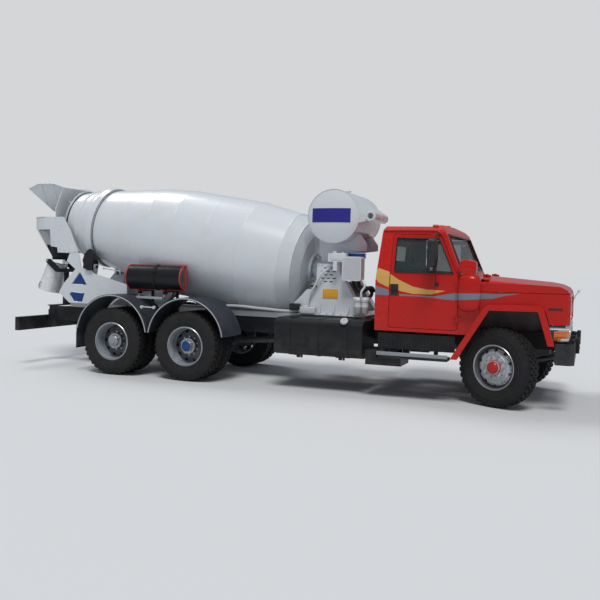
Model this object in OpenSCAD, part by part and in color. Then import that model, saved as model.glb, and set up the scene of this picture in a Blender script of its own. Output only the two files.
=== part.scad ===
// Concrete mixer truck, long nose, three axles, right side seen from ahead
// All parts are drawn from the front axle, X forward, Y to the left, Z up from the ground

/* [Running gear] */
// Distance from the front axle to the first drive axle
wheelbase = 4550; // [4300:10:4800]
// Distance between the two drive axles
bogie_spacing = 1290; // [1240:10:1380]
// Outer radius of every tyre
tyre_r = 520; // [505:1:530]
// Width of one tyre
tyre_w = 265; // [240:1:275]
// Outer radius of the rim flange
rim_r = 298; // [285:1:305]
// Outer face of the front tyre from the middle of the truck
front_face_y = 1165; // [1140:1:1172]
// Outer face of the outer rear tyre from the middle of the truck
rear_face_y = 1240; // [1210:1:1250]
// Distance between the middles of a pair of twin tyres
twin_spacing = 318; // [305:1:330]
// King pin from the middle of the truck
king_y = 900; // [880:1:920]
// King pin radius
king_r = 22; // [18:0.5:26]
// Steering angle at rest, turned to the right as parked
steer_rest = -24.5; // [-30:0.5:0]
// Radius of the wheel spindles
spindle_r = 42; // [36:0.5:48]

/* [Frame] */
// Half width over the side rails
rail_y = 420; // [400:1:435]
// Height of a side rail
rail_h = 240; // [200:1:260]
// Top of the side rails above the ground
rail_top = 960; // [940:1:975]
// Width of a rail flange
flange_w = 75; // [60:1:85]
// Thickness of the rail sheet
rail_t = 8; // [6:1:10]
// Rear end of the rails behind the front axle
rail_rear = 7680; // [7600:10:7700]
// Height of the mixer subframe on the rails
sub_h = 80; // [60:1:90]

/* [Cab] */
// Half width of the cab at the belt
cab_y = 1175; // [1150:1:1180]
// Thickness of the cab walls and doors
wall = 40; // [30:1:45]
// Lower edge of the cab
cab_low = 922; // [910:1:930]
// Back wall of the cab behind the front axle
cab_back = 1680; // [1650:1:1700]
// Height of the roof at its crown
roof_z = 2365; // [2340:1:2400]
// Height of the window sill
sill_z = 1712; // [1690:1:1730]
// Gap round doors and hood
panel_gap = 6; // [5:0.5:8]

/* [Nose] */
// Front face of the nose ahead of the front axle
nose_x = 800; // [780:1:820]
// Half width of the nose at its front
nose_y = 935; // [900:1:950]
// Height of the hood at the cowl
hood_z = 1685; // [1670:1:1695]
// Height of the cut between hood and side panels
crease_z = 1490; // [1470:1:1510]
// Front face of the bumper ahead of the front axle
bumper_x = 870; // [850:1:890]
// How far the rubber buffers stand out of the bumper
buffer_out = 50; // [40:1:60]
// Thickness of the nose panels
skin = 25; // [18:1:30]

/* [Drum] */
// Slope of the drum axis in degrees
drum_tilt = 9; // [8:0.5:10]
// Largest outer radius of the drum
drum_r = 865; // [840:1:875]
// Length of the drum from the front dish to the mouth
drum_len = 4330; // [4250:10:4380]
// Thickness of the drum shell
drum_t = 10; // [8:1:12]
// Front of the drum behind the front axle
drum_front = 3000; // [2980:5:3020]
// Height of the drum axis at the front
drum_front_z = 1737; // [1730:1:1745]
// Radius of the roller ring
ring_r = 680; // [670:1:690]
// Width of the roller ring
ring_w = 100; // [80:1:120]
// Distance of the roller ring from the front of the drum
ring_s = 3745; // [3700:5:3780]
// Radius of the drum mouth
mouth_r = 530; // [510:1:540]
// Radius of a support roller
roller_r = 125; // [110:1:135]
// Angle of the rollers from the lowest point of the ring
roller_angle = 35; // [32:1:38]

/* [Rear end] */
// Rear face of the underrun bar behind the front axle
underrun_x = 7770; // [7740:10:7800]
// Rear lip of the charging hopper behind the front axle
hopper_rear = 8165; // [8140:5:8200]
// Length of the discharge chute
chute_len = 515; // [480:5:540]
// Radius of the chute at its upper end
chute_top_r = 195; // [180:1:205]
// Radius of the chute at its lower end
chute_low_r = 270; // [240:1:280]
// Steepness of the hanging chute
chute_pitch = 71; // [66:1:76]
// Radius of the swivel mast
mast_r = 45; // [38:0.5:50]
// Radius of the chute's hinge pins
chute_pin_r = 14; // [12:0.5:18]

/* [Water tank] */
// Radius of the water tank
tank_r = 390; // [370:1:400]
// Length of the water tank between its dished ends
tank_len = 1180; // [1100:10:1240]
// Radius of the filler pipe
pipe_r = 72; // [66:1:80]
// Radius of the hole in the filler pipe
pipe_bore_r = 42; // [36:0.5:48]

/* [Hidden] */
$fn = 48;
// Clearance of a running fit, all round
fit = 0.05;
// Gap of a part that is seated on another
seat = 0.3;
// Heights and places that follow
hub_z = tyre_r;
mid_x = -wheelbase;
rear_x = -wheelbase - bogie_spacing;
rail_low = rail_top - rail_h;
deck_z = rail_top + sub_h;
chute_hinge_x = -7880;
chute_hinge_z = 1740;
mast_x = -7660;
outlet_x = -7800;
front_reach = bumper_x + buffer_out;
axle_x = (hopper_rear - front_reach) / 2;

// Helpers

// Moves a part from the front axle to the middle of the whole truck
module place() translate([axle_x, 0, 0]) children();

// A block from its low corner to its high corner
module block(lo, hi) translate(lo) cube(hi - lo);

// Extrudes an outline in X and Z across Y
module across(y0, y1) translate([0, y1, 0]) rotate([90, 0, 0]) linear_extrude(y1 - y0) children();

// Extrudes an outline in Y and Z along X
module along(x0, x1) translate([x0, 0, 0]) rotate([90, 0, 90]) linear_extrude(x1 - x0) children();

// A cylinder along Y
module rod_y(x, z, y0, y1, r) translate([x, y1, z]) rotate([90, 0, 0]) cylinder(h = y1 - y0, r = r);

// A cylinder along X
module rod_x(y, z, x0, x1, r) translate([x0, y, z]) rotate([0, 90, 0]) cylinder(h = x1 - x0, r = r);

// The same part on both sides
module both_sides() {
    children();
    mirror([0, 1, 0]) children();
}

// Ladder frame

cross_members = [-7560, -6480, -3650, -3050, -2500, -1560];

module rail() {
    web = [rail_y - rail_t, rail_y];
    along(-rail_rear, 640) polygon([
        [web[1], rail_low], [web[1], rail_top], [web[1] - flange_w, rail_top],
        [web[1] - flange_w, rail_top - rail_t], [web[0], rail_top - rail_t],
        [web[0], rail_low + rail_t], [web[1] - flange_w, rail_low + rail_t],
        [web[1] - flange_w, rail_low]
    ]);
}

module frame_rails() place() color("#1c1e20") {
    both_sides() rail();
    for (x = cross_members)
        block([x - 35, rail_t - rail_y, rail_top - 110], [x + 35, rail_y - rail_t, rail_top - 20]);
    // Low cross-member below the radiator and end beam
    block([560, rail_t - rail_y, rail_low + 20], [630, rail_y - rail_t, rail_low + 90]);
    // Trunnion brackets of the bogie
    both_sides() difference() {
        across(rail_y + 1, rail_y + 21) polygon([
            [bogie_mid_x - 170, rail_top - 60], [bogie_mid_x + 170, rail_top - 60],
            [bogie_mid_x + 90, hub_z - 90], [bogie_mid_x - 90, hub_z - 90]
        ]);
        rod_y(bogie_mid_x, hub_z, rail_y, rail_y + 30, trunnion_r + seat);
    }
    both_sides() block([bogie_mid_x - 100, rail_y - 1, rail_low + 30], [bogie_mid_x + 100, rail_y + 2, rail_top - 80]);
    // Spring hangers of the front axle
    both_sides() for (x = [-690, 690 - 60])
        block([x, spring_y - 45, rail_low - 70], [x + 60, spring_y + 45, rail_low]);
}

bogie_mid_x = (mid_x + rear_x) / 2;
trunnion_r = 60;
spring_y = rail_y - 38;

// Mixer subframe

module subframe() place() color("#e9eaec") {
    both_sides() block([-7240, rail_y - flange_w, rail_top], [-2060, rail_y, deck_z]);
    for (x = [-7160, -5900, -4700, -3260, -2900, -2200])
        block([x - 30, flange_w - rail_y, rail_top + 10], [x + 30, rail_y - flange_w, deck_z - 15]);
}

// Front axle

beam_low = hub_z - 95;
beam_top = hub_z - 25;
leaf_t = 12;
leaf_half = [600, 600, 500, 380, 250];

module front_axle() place() color("#222426") {
    difference() {
        union() {
            along(-45, 45) polygon([
                [-830, hub_z + 25], [-830, hub_z - 55], [-640, beam_low], [640, beam_low],
                [830, hub_z - 55], [830, hub_z + 25], [640, beam_top], [-640, beam_top]
            ]);
            both_sides() translate([0, king_y, hub_z - 65]) cylinder(h = 90, r = 48);
            both_sides() block([-40, 800, hub_z - 60], [40, king_y, hub_z + 20]);
        }
        both_sides() translate([0, king_y, 0]) cylinder(h = 2000, r = king_r + fit);
        // The web of the beam is thinner than its flanges
        for (s = [-1, 1]) block([s > 0 ? 14 : -46, -620, beam_low + 14], [s > 0 ? 46 : -14, 620, beam_top - 14]);
    }
    both_sides() translate([0, spring_y, 0]) front_spring_solid();
}

// Stack of leaves with its clamp plate, seated on the beam
module front_spring_solid() {
    rise = 70;
    bend = (leaf_half[0] * leaf_half[0] + rise * rise) / (2 * rise);
    across(-35, 35) for (i = [0:4]) {
        half = leaf_half[4 - i];
        intersection() {
            translate([0, beam_top + i * leaf_t + bend]) difference() {
                circle(r = bend, $fn = 240);
                circle(r = bend - leaf_t, $fn = 240);
            }
            translate([-half, beam_top]) square([2 * half, 300]);
        }
    }
    block([-60, -50, beam_top + 5 * leaf_t - 2], [60, 50, beam_top + 5 * leaf_t + 14]);
    for (s = [-1, 1]) block([s * 630 - 30, -35, beam_top + 50], [s * 630 + 30, 35, rail_low - 70 - seat]);
}

module knuckle(side) {
    translate([0, side * king_y, 0]) rotate([0, 0, steer_rest]) scale([1, side, 1]) {
        // Fork over and under the boss of the beam, and the king pin through it
        for (z = [hub_z - 65 - 1 - 34, hub_z + 25 + 1]) translate([0, 0, z]) cylinder(h = 34, r = 46);
        translate([0, 0, hub_z - 99]) cylinder(h = 158, r = king_r);
        difference() {
            block([-50, 0, hub_z - 100], [50, 88, hub_z + 60]);
            translate([0, 0, hub_z - 66]) cylinder(h = 92, r = 52);
        }
        // Spindle for the wheel and steering arm
        rod_y(0, hub_z, 80, front_face_y - king_y - 65, spindle_r);
        block([-200, 4, hub_z - 98], [-45, 36, hub_z - 70]);
        translate([-200, 20, hub_z - 98]) cylinder(h = 28, r = 30);
    }
}

module knuckle_right() place() color("#2a2c2e") knuckle(-1);
module knuckle_left() place() color("#2a2c2e") knuckle(1);

// Wheels, drawn with their axis along Z and the outer face at zero

module tyre_solid() {
    w = tyre_w;
    rotate_extrude($fn = 72) polygon([
        [rim_r - 6, -28], [rim_r + 70, 0], [tyre_r - 50, -12], [tyre_r, -50],
        [tyre_r, 50 - w], [tyre_r - 50, 12 - w], [rim_r + 70, -w], [rim_r - 6, 28 - w]
    ]);
}

// Well of a rim with its flanges, from the outer flange inwards
module rim_band() {
    w = tyre_w;
    rotate_extrude($fn = 72) polygon([
        [rim_r - 6 - seat, -28], [rim_r - 1, -24.5], [rim_r - 1, -19], [rim_r - 18, -18], [rim_r - 26, -30],
        [rim_r - 34, -80], [rim_r - 34, 80 - w], [rim_r - 26, 30 - w], [rim_r - 18, 18 - w],
        [rim_r - 1, 19 - w], [rim_r - 1, 24.5 - w], [rim_r - 6 - seat, 28 - w]
    ]);
}

front_disc_x = 18;

module front_rim_solid() {
    difference() {
        union() {
            rim_band();
            // Convex disc, its crown near the outer face
            rotate_extrude($fn = 72) polygon([
                [0, -front_disc_x - 22], [150, -front_disc_x - 22], [205, -front_disc_x - 40],
                [rim_r - 30, -100], [rim_r - 30, -112], [200, -front_disc_x - 54],
                [148, -front_disc_x - 36], [0, -front_disc_x - 36]
            ]);
            translate([0, 0, -150]) cylinder(h = 140, r = 92);
            // Brake drum behind the disc
            translate([0, 0, -210]) cylinder(h = 110, r = 196);
            translate([0, 0, -28]) cylinder(h = 36, r = 70);
        }
        translate([0, 0, -260]) cylinder(h = 135, r = 180);
        translate([0, 0, -260]) cylinder(h = 200, r = spindle_r + fit);
        for (i = [0:9]) rotate([0, 0, i * 36 + 18]) translate([226, 0, -200]) cylinder(h = 200, r = 24);
    }
}

// Pair of rims with one deep disc, hub and brake drum
module twin_rim_solid() {
    inner = -twin_spacing;
    difference() {
        union() {
            rim_band();
            translate([0, 0, inner]) rim_band();
            // Disc between the two rims, dished inwards
            rotate_extrude($fn = 72) polygon([
                [0, -178], [150, -178], [200, -190], [rim_r - 30, -215], [rim_r - 30, -229],
                [200, -204], [150, -192], [0, -192]
            ]);
            translate([0, 0, -330]) cylinder(h = 220, r = 115);
            translate([0, 0, -110]) cylinder(h = 50, r = 80);
            translate([0, 0, inner - 120]) cylinder(h = 250, r = 190);
            // Ring that joins the two rims
            rotate_extrude($fn = 72) polygon([
                [rim_r - 52, -200], [rim_r - 30, -200], [rim_r - 30, inner - 110], [rim_r - 52, inner - 110]
            ]);
        }
        translate([0, 0, -700]) cylinder(h = 560, r = spindle_r + fit);
        for (i = [0:9]) rotate([0, 0, i * 36]) translate([222, 0, -260]) cylinder(h = 130, r = 26);
    }
}

module twin_tyres_solid() {
    tyre_solid();
    translate([0, 0, -twin_spacing]) tyre_solid();
}

// Puts a wheel on a front knuckle
module on_knuckle(side)
    translate([0, side * king_y, 0]) rotate([0, 0, steer_rest]) translate([0, side * (front_face_y - king_y), hub_z])
        rotate([-side * 90, 0, 0]) children();

// Puts a wheel on a drive axle
module on_axle(x, side) translate([x, side * rear_face_y, hub_z]) rotate([-side * 90, 0, 0]) children();

module front_tyre_right() place() color("#242527") on_knuckle(-1) tyre_solid();
module front_tyre_left() place() color("#242527") on_knuckle(1) tyre_solid();
module front_rim_right() place() color("#9a9da2") on_knuckle(-1) front_rim_solid();
module front_rim_left() place() color("#9a9da2") on_knuckle(1) front_rim_solid();
module mid_tyres_right() place() color("#242527") on_axle(mid_x, -1) twin_tyres_solid();
module mid_tyres_left() place() color("#242527") on_axle(mid_x, 1) twin_tyres_solid();
module mid_rims_right() place() color("#9a9da2") on_axle(mid_x, -1) twin_rim_solid();
module mid_rims_left() place() color("#9a9da2") on_axle(mid_x, 1) twin_rim_solid();
module rear_tyres_right() place() color("#242527") on_axle(rear_x, -1) twin_tyres_solid();
module rear_tyres_left() place() color("#242527") on_axle(rear_x, 1) twin_tyres_solid();
module rear_rims_right() place() color("#9a9da2") on_axle(rear_x, -1) twin_rim_solid();
module rear_rims_left() place() color("#9a9da2") on_axle(rear_x, 1) twin_rim_solid();

// Drive axles and their springs

housing_r = 70;
bogie_spring_y = rail_y + 66;

module drive_axle(x) {
    rod_y(x, hub_z, -780, 780, housing_r);
    rod_y(x, hub_z, 150 - rear_face_y, rear_face_y - 150, spindle_r);
    // Banjo with its cover behind and the drive flange ahead
    rod_x(0, hub_z, x - 110, x + 110, 190);
    translate([x - 110, 0, hub_z]) rotate([0, -90, 0]) cylinder(h = 60, r1 = 180, r2 = 110);
    translate([x + 110, 0, hub_z]) rotate([0, 90, 0]) cylinder(h = 110, r1 = 170, r2 = 80);
    // Spring pads
    both_sides() block([x - 70, bogie_spring_y - 48, hub_z + 40], [x + 70, bogie_spring_y + 48, hub_z + housing_r + 12]);
}

module drive_axles() place() color("#222426") {
    drive_axle(mid_x);
    drive_axle(rear_x);
}

module bogie_springs() place() color("#26282a") {
    half = bogie_spacing / 2;
    low = hub_z + housing_r + 12;
    both_sides() across(bogie_spring_y - 45, bogie_spring_y + 45) polygon([
        [bogie_mid_x - half - 60, low], [bogie_mid_x + half + 60, low],
        [bogie_mid_x + half + 60, low + 16], [bogie_mid_x + half - 90, low + 32],
        [bogie_mid_x + half - 190, low + 50], [bogie_mid_x + half - 300, low + 68],
        [bogie_mid_x + 110, low + 100], [bogie_mid_x - 110, low + 100],
        [bogie_mid_x - half + 300, low + 68], [bogie_mid_x - half + 190, low + 50],
        [bogie_mid_x - half + 90, low + 32], [bogie_mid_x - half - 60, low + 16]
    ]);
    // Trunnion tube and the saddles that carry the springs
    both_sides() rod_y(bogie_mid_x, hub_z, rail_y - 60, bogie_spring_y + 50, trunnion_r);
    both_sides() across(bogie_spring_y - 40, bogie_spring_y + 40) polygon([
        [bogie_mid_x - 110, low], [bogie_mid_x + 110, low], [bogie_mid_x + 50, hub_z], [bogie_mid_x - 50, hub_z]
    ]);
}

// Engine, gearbox and prop shafts

module shaft(a, b, r) {
    d = b - a;
    translate([a[0], 0, a[1]]) rotate([0, 90 - atan2(d[1], d[0]), 0]) cylinder(h = norm(d), r = r);
}

module driveline() place() color("#3a3d40") {
    // Engine as one plain block
    block([-400, -300, 640], [540, 300, 1380]);
    // Clutch housing and gearbox
    translate([-400, 0, 760]) rotate([0, -90, 0]) cylinder(h = 160, r1 = 210, r2 = 150);
    block([-1240, -150, 620], [-550, 150, 895]);
    rod_x(0, 740, -1300, -1240, 70);
    shaft([-1300, 740], [mid_x + 224, hub_z + 10], 50);
    shaft([mid_x - 172, hub_z + 50], [rear_x + 223, hub_z + 20], 40);
}

// Front bumper with rubber buffers and a tow eye

module bumper_plan(d) {
    polygon([
        [640 + d * 4, -1180 + d], [bumper_x - 60 - d / 2, -1180 + d], [bumper_x - d, -1110 + d],
        [bumper_x - d, 1110 - d], [bumper_x - 60 - d / 2, 1180 - d], [640 + d * 4, 1180 - d]
    ]);
}

tow_r = 20;
tow_wall = 8;
tow_x = bumper_x + buffer_out - tow_r - tow_wall;

module front_bumper() place() color("#1d1f22") {
    difference() {
        translate([0, 0, 610]) linear_extrude(265) bumper_plan(0);
        translate([0, 0, 600]) linear_extrude(300) offset(delta = -14) bumper_plan(0);
        block([600, -1166, 600], [700, 1166, 900]);
    }
    // Brackets to the rails, front plate and buffers
    both_sides() block([640, rail_y - 70, 730], [bumper_x - 13, rail_y, 870]);
    both_sides() block([bumper_x, 600, 727], [bumper_x + buffer_out, 720, 924]);
    both_sides() block([bumper_x - 40, 600, 875], [bumper_x, 720, 900]);
    difference() {
        union() {
            block([bumper_x - 1, -tow_r - tow_wall, 715], [tow_x, tow_r + tow_wall, 755]);
            translate([tow_x, 0, 715]) cylinder(h = 40, r = tow_r + tow_wall);
        }
        translate([tow_x, 0, 700]) cylinder(h = 80, r = tow_r);
    }
}

// Cab

windscreen_foot = -545;
firewall_x = -585;
floor_z = 1015;
// Side view of the cab and cowl
module cab_side() offset(r = 30) offset(delta = -30) polygon([
    [-cab_back, cab_low - 100], [-cab_back, 1580], [-cab_back + 70, roof_z], [-860, roof_z],
    [-790, 2285], [windscreen_foot, 1700], [-300, 1692], [-300, 1175], [-447, cab_low], [-447, cab_low - 100]
]);
// Front view of the cab
module cab_front() offset(r = 70) offset(delta = -70) polygon([
    [-cab_y + 30, 700], [-cab_y, 1250], [-cab_y, 1660], [-1070, 2270], [-900, 2330], [0, roof_z],
    [900, 2330], [1070, 2270], [cab_y, 1660], [cab_y, 1250], [cab_y - 30, 700]
]);

// Front view of the cowl ahead of the windscreen
module cowl_front() offset(r = 50) offset(delta = -50) polygon([
    [-cab_y + 30, 700], [-cab_y, 1250], [-cab_y, 1580], [-1090, 1640], [-500, 1676], [0, 1692],
    [500, 1676], [1090, 1640], [cab_y, 1580], [cab_y, 1250], [cab_y - 30, 700]
]);

// The cab as a solid, drawn in by d on every side
module cab_solid(d) intersection() {
    across(-1300, 1300) offset(delta = -d) cab_side();
    union() {
        along(-2000, windscreen_foot + 30) offset(delta = -d) cab_front();
        along(windscreen_foot + 29, 0) offset(delta = -d) cowl_front();
    }
    block([-2000, -1400, cab_low + d], [0, 1400, 3000]);
}

module door_outline() offset(r = 30) offset(delta = -30) polygon([
    [-1490, 972], [-1465, 2215], [-815, 2215], [-590, 1700], [-575, 1640], [-575, 972]
]);

module window_outline() polygon([[-1425, sill_z + 13], [-1415, 2165], [-850, 2158], [-645, sill_z - 10]]);

vent_bar_x = -905;

module cab_shell() place() color("#c01d16") {
    difference() {
        cab_solid(0);
        // Inside of the cab above its floor
        intersection() {
            cab_solid(wall);
            union() {
                block([-2000, -1400, floor_z], [firewall_x, 1400, 3000]);
                block([-2000, -1400, 1660], [0, 1400, 3000]);
            }
        }
        // Space above the frame, hollow sills and room for the engine
        block([-2000, -520, 0], [0, 520, 985]);
        both_sides() block([-1640, 560, 0], [-500, 1100, 985]);
        block([firewall_x + 25, -1000, 0], [0, 1000, 1650]);
        both_sides() across(1000, 1400) offset(delta = panel_gap) door_outline();
        // Windscreen and back window
        along(-1000, 0) offset(r = 40) offset(delta = -40)
            polygon([[-1010, 1752], [1010, 1752], [950, 2222], [-950, 2222]]);
        block([-1800, -450, 1680], [-1550, 450, 2090]);
    }
    // Mounts on the rails
    for (x = [-1500, -800]) both_sides()
        block([x - 60, rail_y - 70, rail_top], [x + 60, rail_y, 985]);
    both_sides() hinge_eyes();
    // Eyes of the hood hinges
    for (y = hood_hinges_y) difference() {
        union() {
            rod_y(-297, hood_pin_z, y - 20, y + 20, 13);
            block([-350, y - 20, 1660], [-297, y + 20, hood_pin_z + 8]);
        }
        rod_y(-297, hood_pin_z, y - 30, y + 30, hood_pin_r + fit);
        block([-300 + seat, y - 60, 1500], [-200, y + 60, hood_pin_z - 13]);
    }
}

hinge_x = -572;
hinge_y = cab_y + 14;
hinge_levels = [1120, 1560];
hinge_r = 8;

// Eyes on the cowl that hold the door's pins
module hinge_eyes() for (z = hinge_levels) difference() {
    union() {
        translate([hinge_x, hinge_y, z - 20]) cylinder(h = 40, r = 14);
        block([hinge_x, cab_y - 20, z - 20], [hinge_x + 60, cab_y + 8, z + 20]);
    }
    translate([hinge_x, hinge_y, z - 30]) cylinder(h = 60, r = hinge_r + fit);
}

module door_panel() {
    difference() {
        intersection() {
            difference() {
                cab_solid(0);
                cab_solid(wall);
            }
            across(1000, 1400) door_outline();
        }
        across(1000, 1400) difference() {
            window_outline();
            translate([vent_bar_x - 11, 1600]) square([22, 700]);
        }
        for (z = hinge_levels) translate([hinge_x, hinge_y, z - 22]) cylinder(h = 44, r = 20);
    }
    // Pins with a knuckle above and below each eye
    for (z = hinge_levels) {
        translate([hinge_x, hinge_y, z - 40]) cylinder(h = 80, r = hinge_r);
        for (lift = [-40, 21]) {
            translate([hinge_x, hinge_y, z + lift]) cylinder(h = 19, r = 14);
            block([hinge_x - 60, cab_y - 20, z + lift], [hinge_x, cab_y + 8, z + lift + 19]);
        }
    }
}

module door_pane() intersection() {
    difference() {
        cab_solid(15);
        cab_solid(21);
    }
    across(1000, 1400) offset(delta = -seat) difference() {
        window_outline();
        translate([vent_bar_x - 11, 1600]) square([22, 700]);
    }
}

mirror_x = -880;
mirror_y = 1395;

module door_fittings() {
    // Mirror head on its upright rod with two brackets
    block([mirror_x - 55, mirror_y - 105, 1785], [mirror_x + 55, mirror_y + 95, 2143]);
    translate([mirror_x + 25, 1262, 1540]) cylinder(h = 680, r = 11);
    for (z = [1860, 2060]) rod_y(mirror_x + 25, z, 1262, mirror_y - 100, 9);
    rod_y(mirror_x + 25, 1560, cab_y + seat, 1262, 12);
    rod_y(mirror_x + 25, 2205, 1092, 1262, 9);
    // Door handle
    block([-1465, cab_y + seat, 1400], [-1365, cab_y + 16, 1545]);
    block([-1455, cab_y + 16, 1440], [-1375, cab_y + 34, 1475]);
}

module door_right() place() color("#c01d16") mirror([0, 1, 0]) door_panel();
module door_left() place() color("#c01d16") door_panel();
module door_glass_right() place() color("#5a6a70", 0.5) mirror([0, 1, 0]) door_pane();
module door_glass_left() place() color("#5a6a70", 0.5) door_pane();
module door_fittings_right() place() color("#17181a") mirror([0, 1, 0]) door_fittings();
module door_fittings_left() place() color("#17181a") door_fittings();

module cab_glass() place() color("#5a6a70", 0.5) intersection() {
    difference() {
        cab_solid(15);
        cab_solid(21);
    }
    union() {
        along(-1000, 0) offset(delta = -seat) offset(r = 40) offset(delta = -40)
            polygon([[-1010, 1752], [1010, 1752], [950, 2222], [-950, 2222]]);
        block([-1800, -450 + seat, 1680 + seat], [-1550, 450 - seat, 2090 - seat]);
    }
}

module seat_solid(y, w) {
    block([-1500, y - w / 2 + 60, floor_z], [-1120, y + w / 2 - 60, 1250]);
    across(y - w / 2, y + w / 2) offset(r = 30) offset(delta = -30)
        polygon([[-1530, 1250], [-1060, 1265], [-1050, 1370], [-1520, 1360]]);
    across(y - w / 2, y + w / 2) offset(r = 30) offset(delta = -30)
        polygon([[-1530, 1290], [-1400, 1300], [-1480, 1900], [-1590, 1900]]);
}

module cab_interior() place() color("#33363a") {
    seat_solid(520, 520);
    seat_solid(-430, 860);
    // Dashboard along the firewall
    across(-1100, 1100) polygon([
        [firewall_x, 1400], [firewall_x - 170, 1430], [firewall_x - 190, 1560], [firewall_x - 60, 1650],
        [firewall_x, 1650]
    ]);
    // Steering column and wheel on the left
    translate([firewall_x - 120, 520, 1480]) rotate([0, -50, 0]) cylinder(h = 200, r = 28);
    translate([firewall_x - 120, 520, 1480]) rotate([0, -50, 0]) translate([0, 0, 195]) {
        rotate_extrude($fn = 60) translate([225, 0]) circle(r = 15, $fn = 20);
        cylinder(h = 14, r = 45);
        for (a = [0, 120, 240]) rotate([0, 0, a]) block([0, -14, -4], [225, 14, 6]);
    }
}

// Nose

hood_slope = atan(75 / 820);
module nose_side(rear) polygon([
    [rear, 1090], [rear, hood_z], [200, hood_z - 38], [520, hood_z - 68], [645, hood_z - 98],
    [745, hood_z - 145], [785, hood_z - 195], [nose_x, hood_z - 260], [nose_x, 1090]
]);
module nose_plan() offset(r = 40) offset(delta = -40) polygon([
    [-500, -1140], [-294, -1135], [250, -1070], [nose_x - 45, -nose_y], [nose_x, -nose_y + 60],
    [nose_x, nose_y - 60], [nose_x - 45, nose_y], [250, 1070], [-294, 1135], [-500, 1140]
]);
module nose_front() offset(r = 50) offset(delta = -50) polygon([
    [-1150, 600], [-1150, 1590], [-1060, 1640], [-500, 1676], [0, hood_z],
    [500, 1676], [1060, 1640], [1150, 1590], [1150, 600]
]);

// The nose as a solid, drawn in by d
module nose_solid(d, rear) intersection() {
    across(-1200, 1200) offset(delta = -d) nose_side(rear);
    translate([0, 0, 900]) linear_extrude(1000) offset(delta = -d) nose_plan();
    translate([-294, 0, hood_z]) rotate([0, hood_slope * 0.8, 0]) translate([294, 0, -hood_z])
        along(-500, 1000) offset(delta = -d) nose_front();
}

module nose_shell(rear) difference() {
    nose_solid(0, rear);
    nose_solid(skin, rear);
    // Open to the engine bay behind and below
    block([-400, -1105, 1000], [-200, 1105, hood_z - 40]);
    translate([0, 0, 1000]) linear_extrude(200) offset(delta = -skin) nose_plan();
}

arch_top = 1340;
flare_w = 75;
module arch_outer() polygon([
    [-690, 520], [-232, 1295], [-190, arch_top - 10], [440, arch_top], [492, 1300], [640, 820], [640, 500]
]);
module arch_band() difference() {
    arch_outer();
    offset(delta = -flare_w) arch_outer();
    translate([-800, 300]) square([800, 300]);
    translate([0, 300]) square([800, 545]);
}

module nose_panels() place() color("#c01d16") {
    difference() {
        nose_shell(-300 + seat);
        block([-400, -1200, crease_z - panel_gap], [1200, 1200, 2000]);
        both_sides() across(700, 1300) arch_outer();
        // Opening for the grille
        block([600, -640, 1135], [900, 640, 1440]);
    }
    // Flares over the front wheels, narrow where the tyre swings past
    both_sides() {
        across(1182, 1245) arch_band();
        intersection() {
            across(900, 1182) arch_band();
            block([-240, 900, 1262], [520, 1200, 1400]);
        }
        // Splash plate over the wheel
        block([-230, 330, 1262], [460, 1000, 1270]);
    }
    // Air cleaner bulge and snorkel head on the right of the cowl
    across(-cab_y - 60, -cab_y - seat) offset(r = 30) offset(delta = -30)
        polygon([[-545, 1240], [-545, 1500], [-505, 1500], [-505, 1690], [-300, 1690], [-300, 1240]]);
    block([-510, -cab_y - 60, 1680], [-360, -1050, 1700]);
    across(-cab_y - 55, -1060) polygon([
        [-510, 1700], [-510, 1738], [-556, 1738], [-556, 1845], [-520, 1882], [-385, 1872], [-361, 1850], [-361, 1700]
    ]);
}

hood_pin_r = 7;
hood_pin_z = 1702;
hood_hinges_y = [-500, 500];
module hood_lid() place() color("#c01d16") {
    difference() {
        nose_shell(-300 + panel_gap);
        block([-400, -1200, 0], [1200, 1200, crease_z]);
    }
    // Knuckles on both sides of each eye, with the pin through them
    for (y = hood_hinges_y) {
        rod_y(-297, hood_pin_z, y - 45, y + 45, hood_pin_r);
        for (lift = [-45, 21]) {
            rod_y(-297, hood_pin_z, y + lift, y + lift + 24, 13);
            block([-297, y + lift, 1655], [-250, y + lift + 24, hood_pin_z]);
        }
    }
}

module grille() place() color("#141517") {
    // Frame, bars and the radiator behind them
    difference() {
        block([nose_x - 50, seat - 640, 1135 + seat], [nose_x - 15, 640 - seat, 1440 - seat]);
        block([nose_x - 60, -600, 1165], [nose_x, 600, 1415]);
    }
    for (z = [1185:40:1400]) block([nose_x - 48, -605, z], [nose_x - 18, 605, z + 16]);
    for (y = [-300, 0, 300]) block([nose_x - 46, y - 8, 1160], [nose_x - 20, y + 8, 1420]);
    block([575, -330, rail_low + 90 + seat], [630, 330, 1400]);
}

module front_lamps() place() color("#8f9296") {
    // Panel between nose and bumper with two square lamps and the corner lamps
    difference() {
        translate([0, 0, 885]) linear_extrude(205 - seat) offset(delta = -12) nose_plan();
        translate([0, 0, 880]) linear_extrude(210) offset(delta = -60) nose_plan();
        block([-600, -1200, 800], [655, 1200, 1200]);
    }
    both_sides() block([nose_x - 13, 560, 905], [nose_x - 5, 830, 1050]);
}

// Cab steps

module cab_steps() place() color("#1b1d1f") both_sides() {
    across(1110, 1140) polygon([[-1630, 676], [-1630, 890], [-600, 890], [-600, 676]]);
    for (x = [-1610:40:-620]) block([x, 1139, 680], [x + 18, 1152, 886]);
    block([-1610, 980, 560], [-680, 1225, 600]);
    block([-1610, 1180, 600], [-680, 1225, 640]);
    for (x = [-1500, -850]) block([x - 25, rail_y, 730], [x + 25, 1110, 780]);
    for (x = [-1500, -850]) block([x - 25, 1060, 600], [x + 25, 1110, 730]);
    block([-1790, 700, 450], [-1640, 1180, 650]);
    block([-1640, 700, 450], [-1300, 1180, 559.7]);
    for (x = [-1700, -1400]) block([x - 20, 720, 559], [x + 20, 760, 730]);
}

// Fuel tank on the right

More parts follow.
